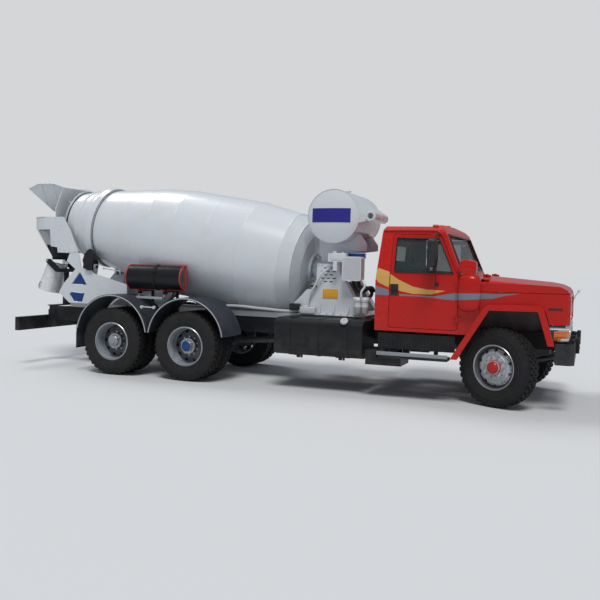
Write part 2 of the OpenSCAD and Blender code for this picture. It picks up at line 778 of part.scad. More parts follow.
tank_x = [-3150, -1850];
module fuel_tank() place() color("#17181a") mirror([0, 1, 0]) {
    along(tank_x[0], tank_x[1]) offset(r = 110) offset(delta = -110)
        polygon([[520, 500], [1150, 500], [1150, 1020], [520, 1020]]);
    for (x = [-2920, -2500, -2080]) along(x - 25, x + 25) offset(r = 116) offset(delta = -110)
        polygon([[520, 500], [1150, 500], [1150, 1020], [520, 1020]]);
    for (x = [-2920, -2500, -2080]) block([x - 25, rail_y, 760], [x + 25, 520, 900]);
    translate([-2115, 1110, 985]) rotate([-45, 0, 0]) cylinder(h = 40, r = 52);
}

// Battery box, air tanks and exhaust on the left

module left_equipment() place() color("#1b1d1f") {
    block([-2400, rail_y + 60, 560], [-1850, 1050, 900]);
    block([-2350, rail_y, 760], [-1900, rail_y + 60, 840]);
    for (z = [620, 850]) rod_x(760, z, -3250, -2480, 100);
    for (x = [-3100, -2650]) block([x - 20, rail_y, 600], [x + 20, 700, 870]);
    // Silencer and tail pipe below the frame
    rod_x(-200, 560, -3400, -2700, 110);
    rod_x(-200, 560, -2700, -1400, 35);
    for (x = [-3050, -1560]) block([x - 15, -215, 580], [x + 15, -185, rail_top - 110 - seat]);
}

// Rear mudguards

guard_r = 645;
guard_z = 600;
module guard(x) {
    across(625, 1250) intersection() {
        difference() {
            translate([x, guard_z]) circle(r = guard_r, $fn = 96);
            translate([x, guard_z]) circle(r = guard_r - 8, $fn = 96);
        }
        translate([x - 700, guard_z + 90]) square([1400, 700]);
    }
    across(1244, 1250) intersection() {
        difference() {
            translate([x, guard_z]) circle(r = guard_r, $fn = 96);
            translate([x, guard_z]) circle(r = guard_r - 34, $fn = 96);
        }
        translate([x - 700, guard_z + 90]) square([1400, 700]);
    }
    // Gusset that carries the guard from the rail
    along(x - 5, x + 5) polygon([
        [rail_y, rail_top - 90], [rail_y, rail_top], [600, guard_z + guard_r - 8], [680, guard_z + guard_r - 8],
        [680, guard_z + guard_r - 30], [610, guard_z + guard_r - 60], [610, rail_top + 90]
    ]);
}

module rear_guards() place() color("#26282b") both_sides() {
    guard(mid_x);
    guard(rear_x);
    block([rear_x - guard_r + 5, 640, 400], [rear_x - guard_r + 13, 1240, guard_z + 130]);
}

// Underrun bar with lamps

module underrun_bar() place() color("#1d1f22") {
    block([-underrun_x, -1150, 580], [-underrun_x + 80, 1150, 760]);
    block([-underrun_x, -1150, 760], [-underrun_x + 85, 1150, 800]);
    // Plates that hold the bar on the outside of the rails
    both_sides() block([-underrun_x + 80, rail_y, 600], [-underrun_x + 230, rail_y + 14, 900]);
}

module tail_lamps() place() color("#a01812") both_sides() {
    block([-underrun_x - 30, 850, 610], [-underrun_x, 1110, 730]);
}

// Front pedestal

ped_y = 455;
module pedestal_side() polygon([
    [-3190, deck_z], [-3190, 1150], [-3040, 1290], [-2930, 1410], [-2790, 1430], [-2770, 1800],
    [-2440, 1800], [-2420, 1680], [-2120, 1185], [-2065, 1100], [-2065, deck_z]
]);

slot_rows = [2, 3, 2, 3, 2];

module front_pedestal() place() color("#eceef0") {
    difference() {
        across(-ped_y, ped_y) pedestal_side();
        across(-ped_y + 12, ped_y - 12) offset(delta = -12) pedestal_side();
        // Open towards the drum and at the front
        block([-3300, -330, deck_z + 14], [-2700, 330, 2000]);
        block([-2500, -300, deck_z + 60], [-2000, 300, 1600]);
        // Room for the gearbox in the top plate
        drum_axis() rotate([0, 90, 0]) cylinder(h = 1000, r = gearbox_r + 1, center = true);
        // Cooling slots in both sides
        for (row = [0:4]) for (i = [0:slot_rows[row] - 1])
            translate([-2595 + (i - (slot_rows[row] - 1) / 2) * 88, 0, 1735 - row * 50])
                block([-26, -600, -8], [26, 600, 8]);
    }
    // Ribs along the foot
    both_sides() for (x = [-2900, -2700, -2480, -2260])
        along(x - 6, x + 6) polygon([[ped_y, deck_z], [ped_y + 90, deck_z], [ped_y + 90, deck_z + 20], [ped_y, deck_z + 170]]);
    both_sides() block([-3190, ped_y, deck_z], [-2065, ped_y + 90, deck_z + 12]);
    // Sloping plate that holds the gearbox
    difference() {
        drum_axis() block([260 + seat, -ped_y + 12, -700], [275, ped_y - 12, 95]);
        drum_axis() rotate([0, 90, 0]) cylinder(h = 1000, r = gearbox_r + 1, center = true);
        block([-3000, -500, 0], [-2000, 500, deck_z]);
    }
}

// Frame of the drum axis: X runs down to the front, its origin at the front dish
module drum_axis() translate([-drum_front, 0, drum_front_z]) rotate([0, drum_tilt, 0]) children();

journal_r = 60;
gearbox_r = 190;
module drum_gearbox() place() color("#d9dbdd") difference() {
    drum_axis() {
        translate([40 + seat, 0, 0]) rotate([0, 90, 0]) cylinder(h = 60, r = 150);
        translate([100, 0, 0]) rotate([0, 90, 0]) cylinder(h = 240, r = gearbox_r);
        translate([340, 0, 0]) rotate([0, 90, 0]) cylinder(h = 110, r = 120);
        // Flange bolted to the pedestal's plate
        translate([240, 0, 0]) rotate([0, 90, 0]) cylinder(h = 20, r = 230);
    }
    drum_axis() rotate([0, 90, 0]) cylinder(h = 110, r = journal_r + fit);
}

// Water tank across the truck

tank_c = [-2500, 2490];
pipe_c = [-1925, 2490];

module water_tank() place() color("#eceef0") {
    half = tank_len / 2;
    rod_y(tank_c[0], tank_c[1], -half, half, tank_r);
    both_sides() translate([tank_c[0], half, tank_c[1]]) intersection() {
        translate([0, 60 - 1300, 0]) sphere(r = 1300, $fn = 128);
        rotate([-90, 0, 0]) cylinder(h = 100, r = tank_r);
    }
    // Sloping neck that ends in the filler pipe
    difference() {
        union() {
            across(-half, 60) polygon([
                [tank_c[0] + tank_r * cos(56), tank_c[1] + tank_r * sin(56)],
                [pipe_c[0] + pipe_r * cos(56), pipe_c[1] + pipe_r * sin(56)],
                [pipe_c[0] - pipe_r * 0.4, pipe_c[1] - pipe_r * 0.8],
                [tank_c[0] + tank_r * cos(-14), tank_c[1] + tank_r * sin(-14)], tank_c
            ]);
            rod_y(pipe_c[0], pipe_c[1], -half - 60, 80, pipe_r);
        }
        rod_y(pipe_c[0], pipe_c[1], -half - 80, -half + 60, pipe_bore_r);
    }
    // Saddles on the pedestal
    for (y = [-300, 300]) across(y - 12, y + 12) difference() {
        polygon([
            [-2790, 2010], [-2790, 2240], [-2160, 2240], [-2060, 2100], [-2060, 2010], [-2440, 1960],
            [-2440, 1800], [-2760, 1800], [-2760, 1960]
        ]);
        translate(tank_c) circle(r = tank_r - 1, $fn = 96);
    }
}

module oil_cooler() place() color("#eceef0") {
    across(-620, -440) offset(r = 30) offset(delta = -30)
        polygon([[-2335, 1560], [-2335, 1910], [-2050, 1910], [-2050, 1560]]);
    block([-2560, -600, 1830], [-2335, -460, 1950]);
    block([-2480, -600, 1700], [-2420 - seat, -ped_y - seat, 1830]);
    for (x = [-2100, -1990]) translate([x, -560, 1100]) cylinder(h = 190, r = 50);
    block([-2160, -600, 1290], [-1930, -500, 1330]);
    block([-2150, -500, 1200], [-2064, -ped_y - seat, 1330]);
}

// Rear pedestal with roller brackets and the chute post

rear_plate_y = 600;
module rear_plate() difference() {
    polygon([
        [-7336, 1207], [-7120, deck_z], [-5990, deck_z], [-5990, 1380], [-6640, 1545], [-6690, 1610],
        [-6885, 1625], [-6940, 1870], [-7120, 1870], [-7180, 1735], [-7005, 1605], [-7236, 1362]
    ]);
    polygon([[-7085, 1350], [-6770, 1350], [-6915, 1570]]);
    polygon([[-7125, 1180], [-7030, 1060], [-6860, 1060], [-6815, 1210], [-7085, 1230]]);
}

module rear_pedestal() place() color("#eceef0") {
    both_sides() across(rear_plate_y - 6, rear_plate_y + 6) rear_plate();
    // Cross beams on the subframe and posts under the rollers
    for (x = [-6960, -6200]) block([x, -rear_plate_y + 6, deck_z], [x + 220, rear_plate_y - 6, deck_z + 60]);
    both_sides() block([-6900, 380, deck_z + 60], [-6720, 540, roller_z - 190]);
    both_sides() block([-6960, 400, roller_z - 190], [-6680, rear_plate_y - 6, roller_z - 160]);
    // Bearing blocks of the rollers
    both_sides() roller_axis(1) for (x = [-ring_w / 2 - 75, ring_w / 2 + 35]) difference() {
        block([x, -40, -175], [x + 40, 40, 40]);
        translate([x - 5, 0, 0]) rotate([0, 90, 0]) cylinder(h = 60, r = roller_shaft_r + fit);
    }
}

module swivel_bearing() place() color("#1c1e20") difference() {
    union() {
        block([mast_x - 60, -rail_y, rail_top], [mast_x + 110, rail_y, rail_top + 15]);
        translate([mast_x, 0, rail_top]) cylinder(h = bearing_top - rail_top, r = 62);
        for (y = [-68, 56]) across(y, y + 12)
            polygon([[mast_x, rail_top], [mast_x + 105, rail_top], [mast_x, bearing_top - 30]]);
    }
    translate([mast_x, 0, rail_top - 10]) cylinder(h = 400, r = mast_r + fit);
}

bearing_top = 1240;

// Height of the ring's centre and of the rollers beside it
ring_z = drum_front_z + ring_s * sin(drum_tilt);
roller_shaft_r = 28;
roller_off = ring_r + seat + roller_r;
roller_z = ring_z - roller_off * cos(roller_angle) * cos(drum_tilt);

module roller_axis(side)
    drum_axis() translate([-ring_s, side * roller_off * sin(roller_angle), -roller_off * cos(roller_angle)]) children();

module roller(side) roller_axis(side) {
    translate([-ring_w / 2 - 10, 0, 0]) rotate([0, 90, 0]) cylinder(h = ring_w + 20, r = roller_r);
    translate([-ring_w / 2 - 80, 0, 0]) rotate([0, 90, 0]) cylinder(h = ring_w + 160, r = roller_shaft_r);
}
module roller_right() place() color("#1a1b1d") roller(-1);
module roller_left() place() color("#1a1b1d") roller(1);

// Hopper and collector

module hopper_side() polygon([
    [-hopper_rear, 2978], [-7930, 3048], [-7600, 3048], [-7410, 2985], [-7410, 2760], [-7150, 2600],
    [-7150, 2400], [-7500, 2430], [-7790, 2610]
]);
module hopper_front() polygon([[-450, 3060], [450, 3060], [200, 2560], [200, 2300], [-200, 2300], [-200, 2560]]);

back_plate_x = -7424;
module charge_hopper() place() color("#eceef0") difference() {
    union() {
        intersection() {
            across(-500, 500) hopper_side();
            along(-8300, -7000) hopper_front();
        }
        // Back plate round the drum mouth, standing on the collector
        along(back_plate_x, back_plate_x + 12) polygon([
            [-606, 2475 + seat], [-606, 2620], [-420, 2975], [420, 2975], [606, 2620], [606, 2475 + seat]
        ]);
    }
    intersection() {
        across(-500, 500) union() {
            offset(delta = -8) hopper_side();
            polygon([[-8140, 2978], [-8140, 3100], [-7425, 3100], [-7425, 2900], [-7900, 2800]]);
            polygon([[-7160, 2585], [-7100, 2585], [-7100, 2412], [-7160, 2412]]);
        }
        along(-8300, -7000) offset(delta = -8) hopper_front();
    }
}

collector_r = 600;
module collector_solid(d) hull() {
    translate([-8145 + collector_r, 0, 2270]) cylinder(h = 205, r = collector_r - d, $fn = 32);
    translate([-8040 + 330, 0, 2075]) cylinder(h = 10, r = 330 - d, $fn = 32);
    translate([-7290 - 140, 0, 2000]) cylinder(h = 10, r = 140 - d, $fn = 32);
    translate([outlet_x, 0, 1790]) cylinder(h = 10, r = 130 - d, $fn = 32);
}

module discharge_collector() place() color("#eceef0") {
    both_sides() cheek();
    collector_shell();
}

module collector_shell() difference() {
    collector_solid(0);
    translate([0, 0, 12]) collector_solid(8);
    translate([0, 0, -12]) collector_solid(8);
    block([-7300, -700, 1700], [-6000, 700, 2600]);
    // Room for the drum mouth
    drum_axis() translate([-drum_len - 30, 0, 0]) rotate([0, 90, 0]) cylinder(h = 500, r = mouth_r + 25);
}

// Cheeks that carry the collector on the pedestal's legs
module cheek() across(rear_plate_y - 6, rear_plate_y + 6) polygon([
    [-7545, 2475], [-7545, 2290], [-7190, 1870 + seat], [-6945, 1870 + seat], [-7110, 2240], [-7260, 2475]
]);

// Discharge chute

fork_y = 225;
module chute_swivel() place() color("#2a2c2e") {
    translate([mast_x, 0, rail_top]) cylinder(h = 600, r = mast_r);
    translate([mast_x, 0, bearing_top + seat]) cylinder(h = 25, r = 66);
    // Fork that holds the hinge pins of the chute
    block([mast_x - 25, -fork_y - 14, 1540], [mast_x + 45, fork_y + 14, 1600]);
    both_sides() difference() {
        across(fork_y, fork_y + 14) polygon([
            [mast_x + 45, 1540], [mast_x + 45, 1600], [chute_hinge_x + 60, 1765], [chute_hinge_x - 30, 1765],
            [chute_hinge_x - 30, 1705], [mast_x - 45, 1540]
        ]);
        rod_y(chute_hinge_x, chute_hinge_z, fork_y - 10, fork_y + 30, chute_pin_r + fit);
    }
}

// Frame of the chute: X runs from its hinge to the lip, Z points out of the open side
module chute_frame() translate([chute_hinge_x, 0, chute_hinge_z]) rotate([0, 180 - chute_pitch, 0]) mirror([0, 0, 1]) children();

module chute() place() color("#c9cdd2") chute_frame() {
    difference() {
        rotate([0, 90, 0]) cylinder(h = chute_len, r1 = chute_top_r + 6, r2 = chute_low_r + 6);
        translate([-1, 0, 0]) rotate([0, 90, 0]) cylinder(h = chute_len + 2, r1 = chute_top_r, r2 = chute_low_r);
        block([-100, -500, 0], [1000, 500, 600]);
    }
    // Ears and hinge pins
    both_sides() {
        rod_y(0, 0, chute_top_r - 3, fork_y + 20, chute_pin_r);
        across(chute_top_r - 3, chute_top_r + 9) polygon([[-22, -22], [-22, 22], [22, 22], [90, 0], [90, -22]]);
    }
}

// Spare chute in its rack above the right rear wheels

module spare_chute() place() color("#141517") {
    x0 = -5730;
    x1 = -4760;
    cy = -850;
    cz = 1520;
    intersection() {
        difference() {
            rod_x(cy, cz, x0, x1, 190);
            rod_x(cy, cz, x0 - 10, x1 + 10, 184);
        }
        block([x0 - 10, cy - 300, cz - 300], [x1 + 10, cy, cz + 300]);
    }
    // Rims and rack
    for (z = [cz - 194, cz + 180]) block([x0, cy - 20, z], [x1, cy + 4, z + 14]);
    for (x = [x0, x1 - 20]) block([x, cy, cz - 190], [x + 20, cy + 12, cz + 190]);
    for (x = [-5566, -5114]) {
        block([x - 20, cy - 60, 1260], [x + 20, cy + 20, cz - 194]);
        block([x - 20, cy + 20, 1290], [x + 20, -rail_y - 60, 1326]);
        block([x - 20, -rail_y - 90, 910], [x + 20, -rail_y - 60, 1290]);
        block([x - 20, -rail_y - 60, 910], [x + 20, -rail_y, 950]);
    }
}

// Drum

// Stations of the shell: distance from the front dish, outer radius
drum_stations = [
    [0, 230], [30, 470], [120, 690], [300, 785], [950, drum_r], [2150, drum_r], [2650, 822],
    [3600, 660], [ring_s - 60, 640], [ring_s + 60, 628], [drum_len - 40, mouth_r - 14], [drum_len, mouth_r]
];

module drum() place() color("#eef0f2") drum_axis() rotate([0, -90, 0]) {
    n = len(drum_stations);
    inner = [for (i = [n - 1:-1:0]) [i == 0 ? drum_t : (i == n - 1 ? drum_len : drum_stations[i][0] + (i < 4 ? drum_t * 0.7 : 0)),
        i == 0 ? 225 : drum_stations[i][1] - drum_t]];
    rotate_extrude($fn = 96) rotate([0, 0, 90]) mirror([0, 1, 0]) polygon(concat([[0, 0]], drum_stations, inner, [[drum_t, 0]]));
    // Flange to the gearbox and its journal
    translate([0, 0, -40]) cylinder(h = 42, r = 230);
    translate([0, 0, -100]) cylinder(h = 70, r = journal_r);
    // Roller ring
    rotate_extrude($fn = 96) translate([0, ring_s - ring_w / 2]) polygon([
        [630, 10], [ring_r - 14, 0], [ring_r, 0], [ring_r, ring_w], [ring_r - 14, ring_w], [630, ring_w - 10]
    ]);
}

// Two spiral flights near the mouth, made of flat plates inside the shell
flight_steps = 9;
module drum_blades() place() color("#b9bdc2") drum_axis() rotate([0, -90, 0]) intersection() {
    rotate_extrude($fn = 96) polygon([
        [420, 3600], [660 - drum_t - seat, 3600], [640 - drum_t - seat, ring_s - 60],
        [628 - drum_t - seat, ring_s + 60], [mouth_r - 14 - drum_t - seat, drum_len - 40], [420, drum_len - 40]
    ]);
    for (start = [0, 180]) for (k = [0:flight_steps - 1])
        rotate([0, 0, start + k * 40]) translate([0, 0, 3690 + k * 62])
            rotate([-9, 0, 0]) block([330, -215, -4], [700, 215, 4]);
}

frame_rails();
subframe();
front_axle();
drive_axles();
bogie_springs();
driveline();
front_bumper();
cab_shell();
cab_glass();
cab_interior();
nose_panels();
grille();
front_lamps();
hood_lid();
door_right();
door_left();
door_glass_right();
door_glass_left();
door_fittings_right();
door_fittings_left();
cab_steps();
fuel_tank();
left_equipment();
rear_guards();
underrun_bar();
tail_lamps();
front_pedestal();
drum_gearbox();
water_tank();
oil_cooler();
rear_pedestal();
swivel_bearing();
charge_hopper();
discharge_collector();
spare_chute();
knuckle_right();
knuckle_left();
front_tyre_right();
front_tyre_left();
front_rim_right();
front_rim_left();
mid_tyres_right();
mid_tyres_left();
mid_rims_right();
mid_rims_left();
rear_tyres_right();
rear_tyres_left();
rear_rims_right();
rear_rims_left();
drum();
drum_blades();
roller_right();
roller_left();
chute_swivel();
chute();
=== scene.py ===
# %% [markdown]
# # Dressing a concrete mixer truck
# The truck comes in as plain solids with the right sizes and joints. This lesson gives
# them paint, rubber, glass and steel, and adds the pieces that solids leave out: tread,
# lamps, seals, pipes, seats and signs without words.

# %% Load the truck
import math
import bmesh
import bpy
from mathutils import Matrix, Vector


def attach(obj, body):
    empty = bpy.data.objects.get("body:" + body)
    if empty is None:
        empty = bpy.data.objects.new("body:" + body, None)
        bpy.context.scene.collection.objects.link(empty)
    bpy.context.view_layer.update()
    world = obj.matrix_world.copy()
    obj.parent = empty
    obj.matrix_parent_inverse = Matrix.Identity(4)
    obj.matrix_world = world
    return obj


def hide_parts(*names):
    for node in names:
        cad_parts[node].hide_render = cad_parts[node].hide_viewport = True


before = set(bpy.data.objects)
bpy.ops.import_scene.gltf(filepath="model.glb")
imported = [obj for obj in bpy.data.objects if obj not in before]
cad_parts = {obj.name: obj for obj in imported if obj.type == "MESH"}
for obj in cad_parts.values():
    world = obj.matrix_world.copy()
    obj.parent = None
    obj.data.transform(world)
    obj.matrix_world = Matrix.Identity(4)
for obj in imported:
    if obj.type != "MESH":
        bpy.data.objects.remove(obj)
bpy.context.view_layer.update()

# %% [markdown]
# ## Measures
# The truck was drawn from its front axle, in millimetres. Giving places in the same way
# keeps the numbers of both files alike, so one helper turns them into the frame's metres.

# %% Places on the truck
AXLE_X = 3.6225
SIDES = {"right": -1, "left": 1}
KING_Y, STEER, MID_X, REAR_X, WHEEL_R = 900, -24.5, -4550, -5840, 520


def at(x, y, z):
    """Point in millimetres from the front axle and the ground, in the frame's metres."""
    return Vector((AXLE_X + x / 1000, y / 1000, z / 1000))


def move(x, y, z):
    return Matrix.Translation((x, y, z))


def spin(degrees, axis="Z"):
    return Matrix.Rotation(math.radians(degrees), 4, axis)


def linked(name, data):
    """New object in the scene."""
    made = bpy.data.objects.new(name, data)
    bpy.context.scene.collection.objects.link(made)
    return made


print("front axle", at(0, 0, 0))

# %% [markdown]
# ## Camera
# The photograph looks at the truck's right side from ahead, at eye height. The place,
# the turns and the lens come from a fit of known sizes to the picture.

# %% Camera
camera_data = bpy.data.cameras.new("camera")
camera_data.lens = 45.06
camera = linked("camera", camera_data)
camera.matrix_world = move(4.6225, -10.96, 1.77) @ spin(21.01) @ spin(87.33, "X") @ spin(1.48)
bpy.context.scene.camera = camera
print("camera", camera.location)

# %% [markdown]
# ## Shader helper
# Every finish here is a Principled shader with a few noises on Object coordinates. A
# small class keeps each finish short: it adds a node, links it and hands back a socket.

# %% Shader helper
class Finish:
    """One material that is built step by step around its Principled shader."""

    def __init__(self, name, colour, roughness, metallic=0.0):
        self.material = bpy.data.materials.new(name)
        self.material.use_nodes = True
        self.nodes = self.material.node_tree.nodes
        self.links = self.material.node_tree.links
        self.shader = self.nodes["Principled BSDF"]
        self.set("Base Color", colour)
        self.set("Roughness", roughness)
        self.set("Metallic", metallic)
        self.coords = self.node("TexCoord").outputs["Object"]

    def feed(self, socket, value):
        """Link another socket or set a value; a colour gets its fourth number."""
        if isinstance(value, bpy.types.NodeSocket):
            self.links.new(value, socket)
        else:
            socket.default_value = (*value, 1) if socket.type == "RGBA" else value

    def set(self, name, value):
        self.feed(self.shader.inputs[name], value)

    def node(self, kind, inputs=(), **settings):
        made = self.nodes.new("ShaderNode" + kind)
        for key, value in settings.items():
            setattr(made, key, value)
        for key, value in dict(inputs).items():
            self.feed(made.inputs[key], value)
        return made

    def noise(self, scale, detail=3, stretch=None):
        where = self.coords
        if stretch:
            where = self.node("Mapping", {"Scale": stretch, "Vector": where}).outputs["Vector"]
        return self.node("TexNoise", {"Scale": scale, "Detail": detail, "Vector": where}).outputs["Fac"]

    def wave(self, scale, direction="Y"):
        waves = {"Scale": scale, "Vector": self.coords}
        return self.node("TexWave", waves, bands_direction=direction).outputs["Fac"]

    def span(self, value, low, high, to_low=0.0, to_high=1.0):
        return self.node("MapRange", {"Value": value, "From Min": low, "From Max": high,
                                      "To Min": to_low, "To Max": to_high}).outputs["Result"]

    def math(self, operation, a, b=0.0):
        return self.node("Math", {0: a, 1: b}, operation=operation).outputs[0]

    def times(self, *values):
        total = values[0]
        for value in values[1:]:
            total = self.math("MULTIPLY", total, value)
        return total

    def mix(self, factor, a, b):
        return self.node("Mix", {0: factor, 6: a, 7: b}, data_type="RGBA").outputs[2]

    def axes(self):
        return self.node("SeparateXYZ", {0: self.coords}).outputs

    def edges(self, low, high, to_high):
        """Mask of sharp edges, or of hollows where high is the smaller number."""
        return self.span(self.node("NewGeometry").outputs["Pointiness"], low, high, 0, to_high)

    def wear(self, tone, roughness, height, strength, distance):
        """Close a finish with its colour, its gloss and the relief of its surface."""
        self.set("Base Color", tone)
        self.set("Roughness", roughness)
        relief = {"Strength": strength, "Distance": distance, "Height": height}
        self.set("Normal", self.node("Bump", relief).outputs["Normal"])


def shaded(colour, factor, lift=0.0):
    return tuple(min(1, c * factor + lift) for c in colour)


print("helper ready")

# %% [markdown]
# ## Paint
# Truck paint is smooth but not perfect: it has a fine orange peel, tones that drift a
# little over a panel, road dust low down and polished edges. One function makes all the
# painted finishes, so that they age alike, and dust comes from the height above ground.

# %% Painted metal
DUST = (0.26, 0.235, 0.20)
DARK_SHINE = 0.25


def painted(name, colour, roughness, dust, high=1.2, drift=0.06, coat=0.0, shine=0.5):
    """Paint with drifting tone, dust up to the height high, and rubbed edges."""
    paint = Finish(name, colour, roughness)
    wide, fine = paint.noise(1.7, 4), paint.noise(38, 5)
    tone = paint.mix(paint.span(wide, 0.3, 0.7), shaded(colour, 1 - drift), shaded(colour, 1 + drift))
    height = paint.span(paint.axes()[2], 0.35, high, 1, 0)
    dusty = paint.times(height, paint.span(paint.noise(6, 6), 0.35, 0.75), dust)
    rubbed = paint.times(paint.edges(0.53, 0.6, 1), paint.span(fine, 0.4, 0.7, 0, 0.2))
    tone = paint.mix(rubbed, paint.mix(dusty, tone, DUST), shaded(colour, 1.5, 0.05))
    gloss = paint.span(wide, 0.3, 0.7, roughness - 0.03, roughness + 0.05)
    paint.set("Coat Weight", coat)
    paint.set("Coat Roughness", 0.08)
    paint.set("Specular IOR Level", shine)
    paint.wear(tone, paint.math("ADD", gloss, paint.times(dusty, 0.4)), paint.noise(130, 2), 0.03, 0.0005)
    return paint


BLACK = painted("chassis_black", (0.010, 0.011, 0.013), 0.42, 0.2, 1.1, shine=DARK_SHINE)
SATIN = painted("satin_black", (0.010, 0.011, 0.013), 0.38, 0.18, 1.0, shine=DARK_SHINE)
GUARD = painted("guard_grey", (0.036, 0.043, 0.056), 0.42, 0.25, shine=DARK_SHINE)
BUMPER = painted("bumper_grey", (0.020, 0.023, 0.028), 0.45, 0.2, shine=DARK_SHINE)
BLUE = painted("panel_blue", (0.006, 0.045, 0.19), 0.35, 0.15, shine=DARK_SHINE)
INDIGO = painted("plate_indigo", (0.028, 0.026, 0.24), 0.3, 0.0, shine=DARK_SHINE)
PALE = painted("pale_grey_paint", (0.46, 0.48, 0.50), 0.4, 0.35)
STEP = painted("step_grey", (0.25, 0.27, 0.30), 0.4, 0.35)
RACK_RED = painted("rack_red", (0.50, 0.030, 0.020), 0.4, 0.2, 1.0)
YELLOW = painted("plate_yellow", (0.72, 0.36, 0.012), 0.4, 0.0)
RIM_GREY = painted("rim_grey", (0.26, 0.28, 0.31), 0.38, 0.0, drift=0.12)
print("painted finishes", 11)

# %% [markdown]
# ## White mixer paint
# The drum, the tank and the stands are white paint, given a blue-grey tone that is partly a
# painted sky reflection and painted shade. Cement washes over them in thin films that run
# down and round, and hollows and welds are darker, partly from dirt and partly as painted
# shade. The film is a wide noise that only warms and dulls the white. A red tint on the
# tank's end behind the cab is a painted reflection of the red cab.

# %% White paint
# White paint colour, made blue-grey as partly painted sky reflection and painted shade.
SKY_SHADED_WHITE = (0.63, 0.665, 0.71)


def white_paint(name, film):
    """White paint with cement film; film says how much of it there is."""
    paint = Finish(name, SKY_SHADED_WHITE, 0.3)
    runs = paint.span(paint.noise(5, 6, (0.5, 1.4, 0.35)), 0.4, 0.75, 0, film)
    soil = paint.times(paint.span(paint.noise(0.9, 5), 0.35, 0.7), runs)
    low = paint.span(paint.axes()[2], 0.7, 1.5, 0.5 * film + 0.1, 0)
    splashed = paint.times(low, paint.span(paint.noise(9, 6), 0.3, 0.7))
    tone = paint.mix(splashed, paint.mix(soil, SKY_SHADED_WHITE, (0.52, 0.50, 0.45)), (0.36, 0.33, 0.28))
    # Hollows and welds turn darker: partly cement dirt, partly painted shade.
    tone = paint.mix(paint.edges(0.47, 0.40, 0.35), tone, (0.30, 0.29, 0.26))
    paint.set("Coat Weight", 0.25)
    paint.set("Coat Roughness", 0.12)
    paint.wear(tone, paint.span(soil, 0, 0.6, 0.27, 0.55), paint.noise(260, 3), 0.06, 0.0008)
    return paint


def colour_of(paint):
    """What feeds the colour of a finish so far."""
    return paint.shader.inputs["Base Color"].links[0].from_socket


def between(paint, x, start, end):
    """Ramp along the truck, between two places in millimetres."""
    return paint.span(x, at(start, 0, 0).x, at(end, 0, 0).x)


WHITE = white_paint("mixer_white", 0.45)
DRUM_WHITE = white_paint("drum_white", 0.5)
TANK_WHITE = white_paint("tank_white", 0.3)
x, y, z = TANK_WHITE.axes()
# A red tint on the tank's lower front end and filler neck, facing the cab, is a painted reflection of the red
# cab.
under = TANK_WHITE.math("MAXIMUM", TANK_WHITE.span(z, 2.46, 2.33), between(TANK_WHITE, x, -1880, -1850))
patchy = TANK_WHITE.span(TANK_WHITE.noise(7, 5), 0.3, 0.6, 0.35, 0.8)
painted_cab_reflection = TANK_WHITE.times(between(TANK_WHITE, x, -2230, -1990), under, patchy)
TANK_WHITE.set("Base Color", TANK_WHITE.mix(painted_cab_reflection, colour_of(TANK_WHITE), (0.55, 0.20, 0.16)))
print("white finishes", 3)

# %% [markdown]
# ## Red cab paint with its bands
# A golden swoosh and a slate band run along the cab and the nose. Painted masks have no
# thickness, so the bands belong in the colour: for each one, two curves over the length
# give its upper and lower edge, and a point is inside when its height lies between them.
# Only the sides of the cab take them, and no lettering comes with them.

# %% Red paint with bands
BAND_X0, BAND_X1 = -1700, 300
BAND_Z0, BAND_Z1 = 1300, 1800
BAND_Y = 0.93
GOLD = [
    ([(-1700, 1700), (-1640, 1758), (-1497, 1712), (-1487, 1700)],
     [(-1700, 1640), (-1637, 1565), (-1490, 1500), (-1487, 1700)]),
    ([(-1480, 1684), (-1365, 1611), (-1169, 1523), (-981, 1491), (-736, 1482)],
     [(-1480, 1540), (-1341, 1460), (-1166, 1428), (-921, 1430), (-736, 1482)]),
]
SLATE = [
    ([(-1700, 1520), (-1666, 1515), (-1500, 1473), (-1487, 1400)],
     [(-1700, 1400), (-1662, 1400), (-1500, 1397), (-1487, 1400)]),
    ([(-1345, 1418), (-1100, 1411), (-882, 1404), (-744, 1432), (-606, 1460)],
     [(-1345, 1394), (-1100, 1396), (-882, 1384), (-741, 1370), (-606, 1366)]),
    ([(-600, 1457), (-296, 1466), (-75, 1460), (190, 1478)],
     [(-600, 1368), (-294, 1394), (-144, 1402), (10, 1444), (190, 1478)]),
]


def edge_curve(paint, along, points):
    """Height of a band's edge, from a curve through its points."""
    curve = paint.node("FloatCurve", {"Value": along})
    marks = curve.mapping.curves[0].points
    places = [((x - BAND_X0) / (BAND_X1 - BAND_X0), (z - BAND_Z0) / (BAND_Z1 - BAND_Z0)) for x, z in points]
    marks[0].location, marks[1].location = places[0], places[-1]
    for place in places[1:-1]:
        marks.new(*place)
    for mark in marks:
        mark.handle_type = "VECTOR"
    curve.mapping.update()
    return curve.outputs[0]


def band_mask(paint, bands):
    """One where a point of the cab's side lies inside any of the bands."""
    x, y, z = paint.axes()
    along = between(paint, x, BAND_X0, BAND_X1)
    height = paint.span(z, BAND_Z0 / 1000, BAND_Z1 / 1000)
    total = 0.0
    for upper, lower in bands:
        inside = paint.times(
            paint.math("GREATER_THAN", x, at(upper[0][0], 0, 0).x),
            paint.math("LESS_THAN", x, at(upper[-1][0], 0, 0).x),
            paint.math("LESS_THAN", height, edge_curve(paint, along, upper)),
            paint.math("GREATER_THAN", height, edge_curve(paint, along, lower)))
        total = paint.math("MAXIMUM", inside, total)
    return paint.times(total, paint.math("GREATER_THAN", paint.math("ABSOLUTE", y), BAND_Y))


